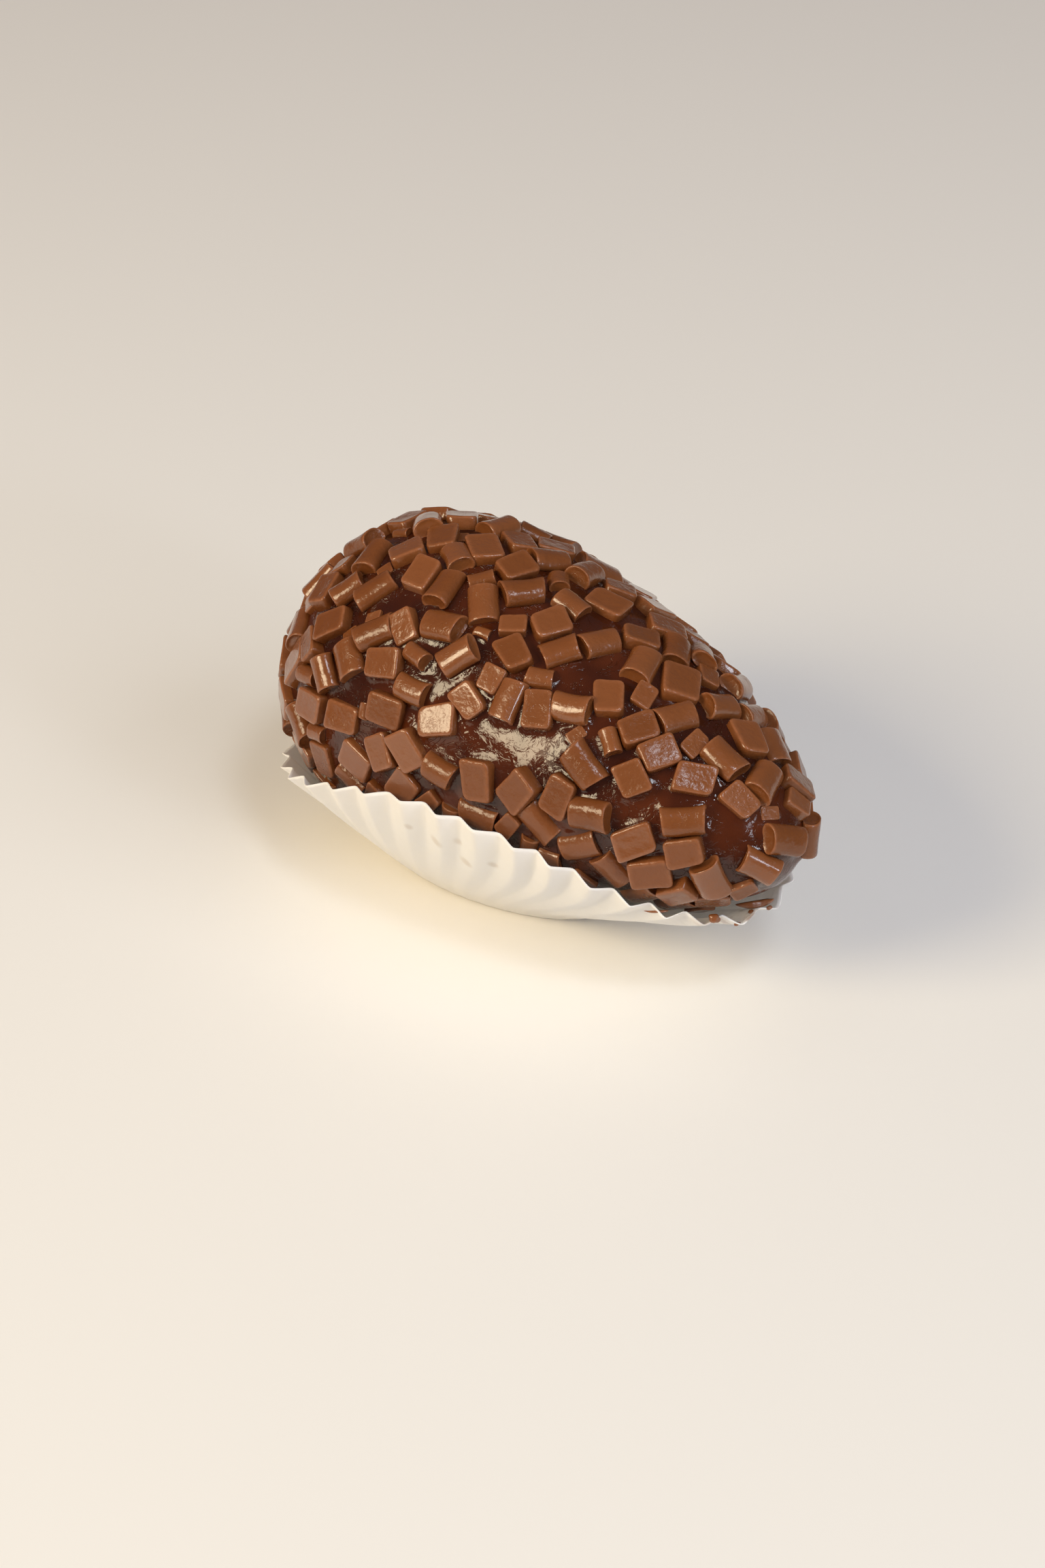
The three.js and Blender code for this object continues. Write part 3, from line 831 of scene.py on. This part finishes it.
def chocolate_egg(settings):
    """The egg itself, glossy, rippled, and drawn up a little round each sprinkle."""
    directions, faces = cube_sphere(settings.grid)
    t = np.clip(directions[:, 0], -1, 1)
    angle = np.arctan2(directions[:, 2], directions[:, 1])
    points = egg_points(t, angle)
    normals = egg_normals(t, angle)
    rise = settings.ripple / MM * noise_at(points, RIPPLE_SIZE)
    rise += settings.crinkle / MM * noise_at(points, CRINKLE_SIZE, offset=40.0)
    climb = np.zeros(len(points))
    sprinkles = scatter_sprinkles()
    footprints = (sprinkles[key] for key in ("ground", "along", "across", "size"))
    for centre, along, across, size in zip(*footprints):
        near = np.flatnonzero(np.linalg.norm(points - centre, axis=1) < MENISCUS_REACH)
        local = (points[near] - centre) @ np.stack([along, across], axis=1)
        away = rounded_distance(local, size[:2] / 2, FOOTPRINT_ROUNDING)
        climb[near] = np.maximum(climb[near], np.exp(-away / (settings.meniscus_width / MM)))
    rise += settings.meniscus / MM * climb * (0.75 + 0.25 * noise_at(points, MENISCUS_SIZE, offset=90.0))
    above = (points[:, 2] - SMOOTH_BELOW) / (UNEVEN_ABOVE - SMOOTH_BELOW)
    rise *= np.clip(above, LEAST_UNEVENNESS, 1.0)
    points = points + normals * rise[:, None]
    points[:, 2] = np.maximum(points[:, 2], EGG_FLOOR)
    egg = new_piece("chocolate_egg", points, faces)
    point_outwards(egg)
    egg.data.materials.append(glossy_chocolate(settings))
    return egg


def skin(rings, first, last):
    """Points and faces of a closed skin through rings of points, with a point at either end."""
    count = len(rings[0])
    points = np.vstack([first, *rings, last])
    faces = []
    for i in range(count):
        j = (i + 1) % count
        faces.append((0, 1 + j, 1 + i))
        for ring in range(len(rings) - 1):
            a = 1 + ring * count
            faces.append((a + i, a + j, a + count + j, a + count + i))
        a = 1 + (len(rings) - 1) * count
        faces.append((a + i, a + j, len(points) - 1))
    return points, faces


CORNERS = [(1, 1), (-1, 1), (-1, -1), (1, -1)]
CORNER_TURNS = np.radians([0, 30, 60, 90])
CORNER_RADII = (0.35, 0.75)
BLOCK_SKEW = 0.1  # the most that its sides taper or lean
BLOCK_SLIDE = 0.12  # how far the top may lie aside of the underside
BLOCK_DOME = (-0.08, 0.04)
TOP_EDGE, FOOT_EDGE = 0.27, 0.16  # what their rounding takes up


def block_shape(name, size, draw):
    """A chopped slab: rounded corners, crisp edges with a painted highlight and nearly flat faces."""
    half = np.array(size[:2]) / 2
    rise = size[2] / 2
    arcs = []
    for k, corner in enumerate(CORNERS):
        radius = between(CORNER_RADII, draw.random())
        turns = np.pi / 2 * k + CORNER_TURNS
        arcs.append(corner * (half - radius) + radius * np.stack([np.cos(turns), np.sin(turns)], axis=1))
    outline = []
    for arc, following in zip(arcs, arcs[1:] + arcs[:1]):
        outline += [*arc, *(arc[-1] + (following[0] - arc[-1]) * share for share in (1 / 3, 2 / 3))]
    outline = np.array(outline)
    taper, skew = draw.uniform(-BLOCK_SKEW, BLOCK_SKEW, 2)
    outline[:, 1] *= 1 + taper * outline[:, 0] / half[0]
    outline[:, 0] += skew * outline[:, 1]
    # Inset from the outline, height, and how much painted highlight the surface takes there.
    profile = [(1.1, -rise, 0), (0.45, -rise, 0), (FOOT_EDGE, -rise, 0)]
    profile += [(0.3 * FOOT_EDGE, -rise + 0.3 * FOOT_EDGE, 0.1), (0, -rise + FOOT_EDGE, 0.1)]
    profile += [(0, 0, 0), (0, rise - TOP_EDGE, 0.25)]
    for turn, highlighted in ((30, 1), (60, 1), (90, 0.5)):
        a = math.radians(turn)
        profile.append((TOP_EDGE * (1 - math.cos(a)), rise - TOP_EDGE * (1 - math.sin(a)), highlighted))
    profile += [(0.6, rise, 0), (1.15, rise, 0)]
    slide = draw.uniform(-BLOCK_SLIDE, BLOCK_SLIDE, 2)
    dome = draw.uniform(*BLOCK_DOME)
    rings, worn = [], [0.0]
    for inset, level, highlighted in profile:
        ring = outline * (1 - inset / half) + slide * (level / rise)
        lift = dome * min(1.0, inset / 0.8) if level > 0 else 0.0
        rings.append(np.column_stack([ring, np.full(len(ring), level + lift)]))
        worn.extend([highlighted] * len(ring))
    worn.append(0.0)
    points, faces = skin(rings, np.array([[0, 0, -rise]]), np.array([[*slide, rise + dome]]))
    return shape_object(name, points, faces, worn, draw)


BARREL_TURNS = np.radians(np.arange(0, 360, 15))
BARREL_MIDDLE = -0.25  # where the section is widest, as a share of its half-height
BARREL_DOME = 1.22  # how high it stands above that
BARREL_DISH = (0.08, 0.22)  # depth of a cut end's hollow
BARREL_BEND = 0.18
BARREL_WAIST = 0.05  # the most that its middle is slimmer, as a share
BARREL_SLANT = 0.16  # of a cut end, at the most
BARREL_END = [  # place from the cut end, share of the section, and how much painted highlight the surface takes
    (0.02, 0.88, 1),
    (0.0, 0.93, 1),
    (0.1, 0.985, 0.9),
    (0.32, 1.0, 0.2),
]


def barrel_shape(name, size, draw):
    """A short length of cut strand: a domed top, a flatter underside, and cut ends with a raised rim."""
    length, width, height = size
    cosine, sine = np.cos(BARREL_TURNS), np.abs(np.sin(BARREL_TURNS))
    y = np.sign(cosine) * np.abs(cosine) ** 0.85
    upper = np.sin(BARREL_TURNS) >= 0
    z = BARREL_MIDDLE + np.where(upper, BARREL_DOME * sine, -(1 + BARREL_MIDDLE) * sine**0.75)
    section = np.stack([y * width / 2, z * height / 2], axis=1)
    half = length / 2
    dish = draw.uniform(*BARREL_DISH)
    bend = draw.uniform(-BARREL_BEND, BARREL_BEND)
    waist = draw.uniform(0.0, BARREL_WAIST)
    end = [(dish, 0.45, 0), (0.7 * dish, 0.74, 0), *BARREL_END]
    slant = draw.uniform(-BARREL_SLANT, BARREL_SLANT, 2)

    def ring_at(x, share, side):
        """side is the cut end's, or 0 for a ring between the ends."""
        ring = section * share * (1 - waist * (1 - (x / half) ** 2))
        slope = side * (ring[:, 0] * slant[0] + ring[:, 1] * slant[1])
        ring = ring + [bend * (1 - (x / half) ** 2), 0]
        return np.column_stack([np.full(len(ring), x) + slope, ring])

    stations = [(-half + place, share, 1, highlighted) for place, share, highlighted in end]
    stations += [(x * half, 1.0, -0.5 * x, 0.0) for x in (-0.45, 0.0, 0.45)]
    stations += [(half - place, share, -1, highlighted) for place, share, highlighted in reversed(end)]
    rings = [ring_at(x, share, side) for x, share, side, _ in stations]
    # How much painted highlight each ring takes.
    worn = [0.0, *np.repeat([station[-1] for station in stations], len(section)), 0.0]
    points, faces = skin(rings, np.array([[-half + dish, 0, 0]]), np.array([[half - dish, 0, 0]]))
    return shape_object(name, points, faces, worn, draw)


MISSHAPEN = 0.06  # how far a pattern strays from its true shape
MISSHAPEN_SIZE = 2.6  # of the noise by which it does


def shape_object(name, points, faces, worn, draw):
    """A pattern for instances, a little misshapen."""
    offset = draw.uniform(0, 50)
    for axis in range(3):
        points[:, axis] += MISSHAPEN * noise_at(points, MISSHAPEN_SIZE, offset + 13 * axis)
    # Each point keeps how much painted highlight it takes.
    shape = new_piece(name, points, faces, {"worn": worn})
    point_outwards(shape)
    bpy.context.scene.collection.objects.unlink(shape)
    return shape


CRUMBS = [  # place, turn in degrees, then length, width and height
    ((31.2, -0.9, 12.9), 60, (4.4, 0.8, 0.9)),
    ((29.93, -6.33, 13.25), 35, (1.3, 1.0, 1.0)),
    ((31.27, -4.01, 11.95), 80, (0.9, 0.5, 0.45)),
    ((32.37, 0.06, 12.5), 70, (0.8, 0.45, 0.45)),
    ((31.39, -1.84, 12.5), 60, (0.7, 0.5, 0.45)),
    ((25.4, -10.9, 14.3), 45, (2.6, 0.35, 0.3)),
]
CRUMB_BEND = 0.09  # the long ones follow the rim
CRUMB_GRID = 10
CRUMB_LUMPS, CRUMB_LUMP_SIZE = 0.35, 1.1  # as shares of a crumb's half-size
CRUMB_TONE, CRUMB_HIGHLIGHT = 0.8, 0.6  # its place between the dark and light shades, and how much of the painted highlight colour it takes


def crumbs_on_the_rim(finish):
    """A smear of chocolate between the egg and the case, and crumbs on the case's rim."""
    directions, faces = cube_sphere(CRUMB_GRID)
    points, all_faces = [], []
    for k, (place, turn, size) in enumerate(CRUMBS):
        rough = 1 + CRUMB_LUMPS * noise_at(directions, CRUMB_LUMP_SIZE, offset=7.0 * k)
        local = directions * np.array(size) / 2 * rough[:, None]
        local[:, 1] += CRUMB_BEND * local[:, 0] ** 2
        points.append(local @ turn_about("Z", math.radians(turn)).T + place)
        all_faces += [tuple(corner + k * len(directions) for corner in face) for face in faces]
    count = len(CRUMBS) * len(directions)
    # The crumbs take some of the painted highlight colour all over.
    shades = {"tone": np.full(count, CRUMB_TONE), "worn": np.full(count, CRUMB_HIGHLIGHT)}
    crumbs = new_piece("crumbs", np.vstack(points), all_faces, shades)
    point_outwards(crumbs)
    crumbs.data.materials.append(finish)
    return crumbs


def sprinkle_scatter_tree():
    """Puts a shape on each point, turned and scaled as the point says, and makes it real."""
    tree = GeometryTree(
        "scattered_sprinkles",
        {
            "Points": "Geometry",
            "Shapes": "Collection",
            "Unevenness": "Float",
            "Unevenness size": "Float",
            "Seed": "Int",
            "Finish": "Material",
        },
        "Sprinkles",
    )
    given = tree.given
    shapes = tree.add(
        "GeometryNodeCollectionInfo",
        None,
        {"Collection": given["Shapes"], "Separate Children": True, "Reset Children": True},
    )
    turn = tree.add("FunctionNodeEulerToRotation", None, {0: tree.stored("FLOAT_VECTOR", "turn")})
    scattered = tree.add(
        "GeometryNodeInstanceOnPoints",
        None,
        {
            "Points": given["Points"],
            "Instance": shapes,
            "Pick Instance": True,
            "Instance Index": tree.stored("INT", "shape"),
            "Rotation": turn,
            "Scale": tree.stored("FLOAT_VECTOR", "size"),
        },
    )
    tone = tree.add("FunctionNodeRandomValue", {"data_type": "FLOAT"}, {"Seed": given["Seed"]}, out=1)
    toned = tree.add(
        "GeometryNodeStoreNamedAttribute",
        {"data_type": "FLOAT", "domain": "INSTANCE"},
        {"Geometry": scattered, "Name": "tone", "Value": tone},
    )
    real = tree.add("GeometryNodeRealizeInstances", None, {"Geometry": toned})
    place = tree.add("GeometryNodeInputPosition")
    wobble = tree.add(
        "ShaderNodeTexNoise",
        None,
        {"Vector": place, "Scale": 1 / given["Unevenness size"], "Detail": 1.0},
        out=1,
    )
    centred = tree.add(
        "ShaderNodeVectorMath", {"operation": "SUBTRACT"}, {0: wobble, 1: (0.5, 0.5, 0.5)}
    )
    uneven = tree.add(
        "GeometryNodeSetPosition",
        None,
        {"Geometry": real, "Offset": tree.scaled(centred, 2 * given["Unevenness"])},
    )
    return tree.end(uneven)


def set_inputs(piece, tree, values):
    """Adds the tree as a modifier and sets its inputs by the names they have."""
    modifier = piece.modifiers.new(tree.name, "NODES")
    modifier.node_group = tree
    for item in tree.interface.items_tree:
        if item.item_type == "SOCKET" and item.in_out == "INPUT" and item.name in values:
            modifier[item.identifier] = values[item.name]


UNEVENNESS_SIZE = 2.2  # millimetres, of the noise by which a face strays


def scattered_kind(name, sprinkles, chosen, size, make_shape, tree, settings, finish):
    """All sprinkles of one kind, as one mesh."""
    draw = np.random.default_rng(settings.seed + len(name))
    shapes = bpy.data.collections.new(name + "_shapes")
    for k in range(settings.shapes):
        shapes.objects.link(make_shape(f"{name}_{k:02d}", size, draw))
    count = int(chosen.sum())
    mesh = bpy.data.meshes.new(name)
    mesh.from_pydata((sprinkles["centre"][chosen] * MM).tolist(), [], [])
    turns = [Matrix(turn.tolist()).to_euler("XYZ") for turn in sprinkles["turn"][chosen]]
    for key, kind, field, values in (
        ("turn", "FLOAT_VECTOR", "vector", np.array([tuple(turn) for turn in turns])),
        ("size", "FLOAT_VECTOR", "vector", sprinkles["size"][chosen] / np.array(size)),
        ("shape", "INT", "value", draw.integers(0, settings.shapes, count)),
    ):
        layer = mesh.attributes.new(key, kind, "POINT")
        layer.data.foreach_set(field, values.ravel())
    piece = bpy.data.objects.new(name, mesh)
    bpy.context.scene.collection.objects.link(piece)
    set_inputs(
        piece,
        tree,
        {
            "Shapes": shapes,
            "Unevenness": settings.unevenness,
            "Unevenness size": UNEVENNESS_SIZE * MM,
            "Seed": settings.seed,
            "Finish": finish,
        },
    )
    made_plain(piece)
    piece.data.shade_smooth()
    for shape in list(shapes.objects):
        bpy.data.objects.remove(shape)
    bpy.data.collections.remove(shapes)
    return piece


FOLD_SHARPNESS = 0.95  # at 1 the wave would be a zigzag
FLUTE_STRAY = 3.0  # radians of a wave, at full unevenness
STRAY_SIZE, WEAKENING_SIZE = 9.0, 6.0  # millimetres, of the noise by which flutes stray and weaken


def flute_tree():
    """Pushes a smooth wall in and out to make its flutes."""
    tree = GeometryTree(
        "paper_flutes",
        {
            "Wall": "Geometry",
            "Flutes": "Int",
            "Depth at the foot": "Float",
            "Depth at the rim": "Float",
            "Growth": "Float",
            "Unevenness": "Float",
            "Seed": "Int",
            "Finish": "Material",
        },
        "Case",
    )
    given = tree.given
    column = tree.stored("FLOAT_VECTOR", "column")

    def drift(size, seed_step):
        """Slow noise from about -1 to 1 that changes round the wall."""
        place = {"Vector": column, "W": given["Seed"] + seed_step}
        look = {"Scale": 1 / (size * MM), "Detail": 1.0}
        noisy = tree.add("ShaderNodeTexNoise", {"noise_dimensions": "4D"}, {**place, **look})
        return noisy * 4.0 - 2.0

    stray = given["Unevenness"] * FLUTE_STRAY * drift(STRAY_SIZE, 0.3)
    turn = tree.stored("FLOAT", "share") * given["Flutes"] * (2 * math.pi) + stray
    # An arcsine folds the wave to blunt points.
    folded = tree.calculate("ARCSINE", FOLD_SHARPNESS * tree.calculate("SINE", turn))
    wave = folded / math.asin(FOLD_SHARPNESS)
    foot, rim = given["Depth at the foot"], given["Depth at the rim"]
    depth = foot + (rim - foot) * tree.stored("FLOAT", "part") ** given["Growth"]
    weaker = 1 - given["Unevenness"] * tree.calculate("ABSOLUTE", drift(WEAKENING_SIZE, 7.7))
    offset = tree.scaled(tree.stored("FLOAT_VECTOR", "outward"), depth * (1 + wave * weaker))
    fluted = tree.add("GeometryNodeSetPosition", None, {"Geometry": given["Wall"], "Offset": offset})
    return tree.end(tree.add("GeometryNodeRealizeInstances", None, {"Geometry": fluted}))


COLUMNS_PER_FLUTE = 16
WALL_ROWS = 44
SLOPE_REACH = 0.05  # part of the wall's height to either side over which its slope is taken
LEVEL_BELOW = 0.1  # below this part of the height the flutes turn to point level
BASE_RINGS = [0.25, 0.5, 0.72, 0.9]  # shares of the base
FOOT_FILLET = 0.7  # millimetres of the base that the fold takes up
FOLD_PLACES = [0.25, 0.5, 0.75]  # along the fold from the base to the wall
FOLD_FADES = [0.4, 0.7, 0.9]  # the share of a flute's depth that each of them has
COLUMN_RADIUS = 30.0  # of the round column on which the flutes' noise is read
STAIN_PLACE, STAIN_REACH = (32.0, -2.5), 9.0  # where the narrow end touches the wall
STAIN_FROM = 0.6  # part of the wall's height


def pleated_paper_case(settings):
    """One sheet: the flat base, the fold at the foot and the fluted wall."""
    columns = settings.flutes * COLUMNS_PER_FLUTE
    shares = np.arange(columns) / columns
    turns = 2 * np.pi * shares
    trails = wall_trails(shares)
    beside = COLUMNS_PER_FLUTE // 4
    corner = np.where(np.cos(turns) < 0, np.sin(2 * turns) ** 2, 0.0)
    parts = np.linspace(0, 1, WALL_ROWS + 1)
    rings, outwards = [], []
    for part in parts:
        at = points_on_trails(trails, part)
        around = np.roll(at, -beside, axis=0) - np.roll(at, beside, axis=0)
        upper, lower = min(1, part + SLOPE_REACH), max(0, part - SLOPE_REACH)
        up = points_on_trails(trails, upper) - points_on_trails(trails, lower)
        level = unit(np.stack([around[:, 1], -around[:, 0], np.zeros(columns)], axis=1))
        steep = min(1.0, part / LEVEL_BELOW)
        outwards.append(unit(level * (1 - steep) + unit(np.cross(around, up)) * steep))
        flare = (RIM_CLEARANCE - WALL_CLEARANCE + BLUNT_FLARE * corner) * part**2
        rings.append(at + level * flare[:, None])
    foot, above = rings[:2]
    centre = np.array([(foot[:, 0].min() + foot[:, 0].max()) / 2, 0, 0])
    base = [centre + (foot - centre) * share for share in BASE_RINGS]
    base.append(foot - unit(foot - centre) * FOOT_FILLET)
    fold = [(1 - s) ** 2 * base[-1] + 2 * s * (1 - s) * foot + s * s * above for s in FOLD_PLACES]
    # The base and the fold take the place of the wall's two lowest rings.
    fades = [0.0] * len(base) + FOLD_FADES
    rings = base + fold + rings[2:]
    outwards = [outwards[0] * fade for fade in fades] + outwards[2:]
    part = np.concatenate([[0.0], np.repeat([0.0] * len(fades) + list(parts[2:]), columns)])
    points = np.vstack([centre, *rings])
    following = [(i + 1) % columns for i in range(columns)]
    faces = [(0, 1 + j, 1 + i) for i, j in enumerate(following)]
    for ring in range(len(rings) - 1):
        a = 1 + ring * columns
        b = a + columns
        faces += [(a + i, a + j, b + j, b + i) for i, j in enumerate(following)]
    column = COLUMN_RADIUS * MM * np.stack([np.cos(turns), np.sin(turns), np.zeros(columns)], axis=1)
    to_tip = np.linalg.norm(points[:, :2] - STAIN_PLACE, axis=1)
    high = np.clip((part - STAIN_FROM) / (1 - STAIN_FROM), 0, 1)
    case = new_piece(
        "pleated_paper_case",
        points,
        faces,
        {
            "share": np.concatenate([[0.0], np.tile(shares, len(rings))]),
            "part": part,
            "outward": np.vstack([np.zeros(3), *outwards]),
            "column": np.vstack([np.zeros(3), np.tile(column, (len(rings), 1))]),
            "stained": np.clip(1 - to_tip / STAIN_REACH, 0, 1) * high,
        },
    )
    set_inputs(
        case,
        flute_tree(),
        {
            "Flutes": settings.flutes,
            "Depth at the foot": settings.depth_foot,
            "Depth at the rim": settings.depth_rim,
            "Growth": settings.growth,
            "Unevenness": settings.unevenness,
            "Seed": settings.seed,
            "Finish": fluted_paper(settings),
        },
    )
    wall = case.modifiers.new("paper", "SOLIDIFY")
    wall.thickness = settings.thickness
    wall.offset = -1
    return made_plain(case)


# ---- The stage ----

CAMERA_PLACE = Vector((0.2271, -0.2455, 0.2420))
CAMERA_TARGET = Vector((-0.0167, 0.0123, 0.0))
CAMERA_LENS = 80.5
FLOOR_SIZE = 3.0
ROOM_COLOUR, ROOM_STRENGTH = (0.97, 0.74, 0.74), 0.13


def soft_light(name, azimuth, elevation, distance, size, power, colour, mirrored):
    """An area light that faces the egg. The azimuth turns from +X towards -Y, in degrees. One that isn't
    mirrored lights the part without showing in its gloss."""
    data = bpy.data.lights.new(name, "AREA")
    data.shape = "RECTANGLE"
    data.size, data.size_y = size
    data.energy = power
    data.color = colour
    light = bpy.data.objects.new(name, data)
    bpy.context.scene.collection.objects.link(light)
    a, e = math.radians(azimuth), math.radians(elevation)
    direction = Vector((math.cos(a) * math.cos(e), -math.sin(a) * math.cos(e), math.sin(e)))
    middle = Vector((0, 0, AXIS_HEIGHT * MM))
    light.location = middle + direction * distance
    light.rotation_mode = "QUATERNION"
    light.rotation_quaternion = direction.to_track_quat("Z", "Y")
    light.visible_glossy = mirrored


def studio(settings):
    """A plain pale floor, soft lights and the camera."""
    half = FLOOR_SIZE / 2 / MM
    floor = new_piece(
        "floor", [(-half, -half, 0), (half, -half, 0), (half, half, 0), (-half, half, 0)], [(0, 1, 2, 3)]
    )
    finish = Finish("plain_floor", {"Roughness": 0.6, "Base Color": opaque(settings.floor)})
    floor.data.materials.append(finish.material)
    # Name, azimuth and elevation in degrees, distance, size, power, colour, and whether it is mirrored.
    for light in (
        ("key", 108, 33, 0.8, (0.36, 0.31), settings.key, (1.0, 0.84, 0.57), True),
        ("fill", 60, 80, 1.5, (2.0, 2.0), settings.fill, (1.0, 0.98, 0.97), False),
        ("low", 80, 14, 1.2, (1.4, 0.6), settings.low, (1.0, 0.97, 0.95), False),
        ("side", -5, 35, 1.1, (0.9, 0.6), settings.side, (0.8, 0.88, 1.0), False),
        ("cool_low", 3, 21, 0.8, (0.12, 0.12), settings.cool * 0.6, (0.8, 0.88, 1.0), True),
        ("cool_high", 17, 62, 0.8, (0.15, 0.15), settings.cool, (0.82, 0.9, 1.0), True),
    ):
        soft_light(*light)
    world = bpy.data.worlds.new("pale_room")
    world.use_nodes = True
    background = world.node_tree.nodes["Background"]
    background.inputs["Color"].default_value = opaque(ROOM_COLOUR)
    background.inputs["Strength"].default_value = ROOM_STRENGTH
    bpy.context.scene.world = world
    data = bpy.data.cameras.new("camera")
    data.lens = CAMERA_LENS
    data.sensor_width = 36
    data.dof.use_dof = False
    camera = bpy.data.objects.new("camera", data)
    bpy.context.scene.collection.objects.link(camera)
    camera.location = CAMERA_PLACE
    camera.rotation_mode = "QUATERNION"
    camera.rotation_quaternion = (CAMERA_TARGET - CAMERA_PLACE).to_track_quat("-Z", "Y")
    bpy.context.scene.camera = camera
    bpy.context.scene.view_settings.view_transform = "Standard"


# ---- Operators ----


def hand_in(piece, node):
    """The piece rides on the part and stands for a node of it, whose solid is hidden."""
    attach(piece, BODY)
    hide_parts(node)


class BRIGADEIRO_OT_chocolate_egg(bpy.types.Operator):
    """Makes the glossy chocolate egg"""

    bl_idname = "brigadeiro.chocolate_egg"
    bl_label = "Chocolate egg"

    def execute(self, context):
        hand_in(chocolate_egg(context.scene.brigadeiro_egg), "brigadeiro")
        return {"FINISHED"}


class BRIGADEIRO_OT_sprinkles(bpy.types.Operator):
    """Makes the chopped chocolate sprinkles, blocks and barrels, and the crumbs on the case"""

    bl_idname = "brigadeiro.sprinkles"
    bl_label = "Sprinkles"

    def execute(self, context):
        settings = context.scene.brigadeiro_sprinkles
        sprinkles = scatter_sprinkles()
        tree = sprinkle_scatter_tree()
        finish = chopped_chocolate(settings)
        for name, chosen, pattern, make_shape in (
            ("sprinkle_blocks", ~sprinkles["barrel"], settings.block, block_shape),
            ("sprinkle_barrels", sprinkles["barrel"], settings.barrel, barrel_shape),
        ):
            size = [side / MM for side in pattern]
            piece = scattered_kind(name, sprinkles, chosen, size, make_shape, tree, settings, finish)
            hand_in(piece, "brigadeiro")
        hand_in(crumbs_on_the_rim(finish), "brigadeiro")
        return {"FINISHED"}


class BRIGADEIRO_OT_paper_case(bpy.types.Operator):
    """Makes the fluted paper case"""

    bl_idname = "brigadeiro.paper_case"
    bl_label = "Paper case"

    def execute(self, context):
        hand_in(pleated_paper_case(context.scene.brigadeiro_case), "paper_case")
        return {"FINISHED"}


class BRIGADEIRO_OT_studio(bpy.types.Operator):
    """Makes the floor, the lights and the camera"""

    bl_idname = "brigadeiro.studio"
    bl_label = "Studio"

    def execute(self, context):
        studio(context.scene.brigadeiro_stage)
        return {"FINISHED"}


class BRIGADEIRO_PT_panel(bpy.types.Panel):
    """Lists the pieces and their settings"""

    bl_idname = "BRIGADEIRO_PT_panel"
    bl_label = "Brigadeiro"
    bl_space_type = "VIEW_3D"
    bl_region_type = "UI"
    bl_category = "Brigadeiro"

    def draw(self, context):
        for operator, settings in (
            (BRIGADEIRO_OT_chocolate_egg, context.scene.brigadeiro_egg),
            (BRIGADEIRO_OT_sprinkles, context.scene.brigadeiro_sprinkles),
            (BRIGADEIRO_OT_paper_case, context.scene.brigadeiro_case),
            (BRIGADEIRO_OT_studio, context.scene.brigadeiro_stage),
        ):
            box = self.layout.box()
            for name in settings.bl_rna.properties.keys():
                if name not in ("rna_type", "name"):
                    box.prop(settings, name)
            box.operator(operator.bl_idname)


SETTINGS = {
    "brigadeiro_egg": BrigadeiroEggSettings,
    "brigadeiro_sprinkles": BrigadeiroSprinkleSettings,
    "brigadeiro_case": BrigadeiroCaseSettings,
    "brigadeiro_stage": BrigadeiroStageSettings,
}
CLASSES = [
    *SETTINGS.values(),
    BRIGADEIRO_OT_chocolate_egg,
    BRIGADEIRO_OT_sprinkles,
    BRIGADEIRO_OT_paper_case,
    BRIGADEIRO_OT_studio,
    BRIGADEIRO_PT_panel,
]


def register():
    for made in CLASSES:
        bpy.utils.register_class(made)
    for name, group in SETTINGS.items():
        setattr(bpy.types.Scene, name, bpy.props.PointerProperty(type=group))


def unregister():
    for name in SETTINGS:
        delattr(bpy.types.Scene, name)
    for made in reversed(CLASSES):
        bpy.utils.unregister_class(made)


def main():
    register()
    bpy.ops.brigadeiro.chocolate_egg()
    bpy.ops.brigadeiro.sprinkles()
    bpy.ops.brigadeiro.paper_case()
    bpy.ops.brigadeiro.studio()


if __name__ == "__main__":
    main()
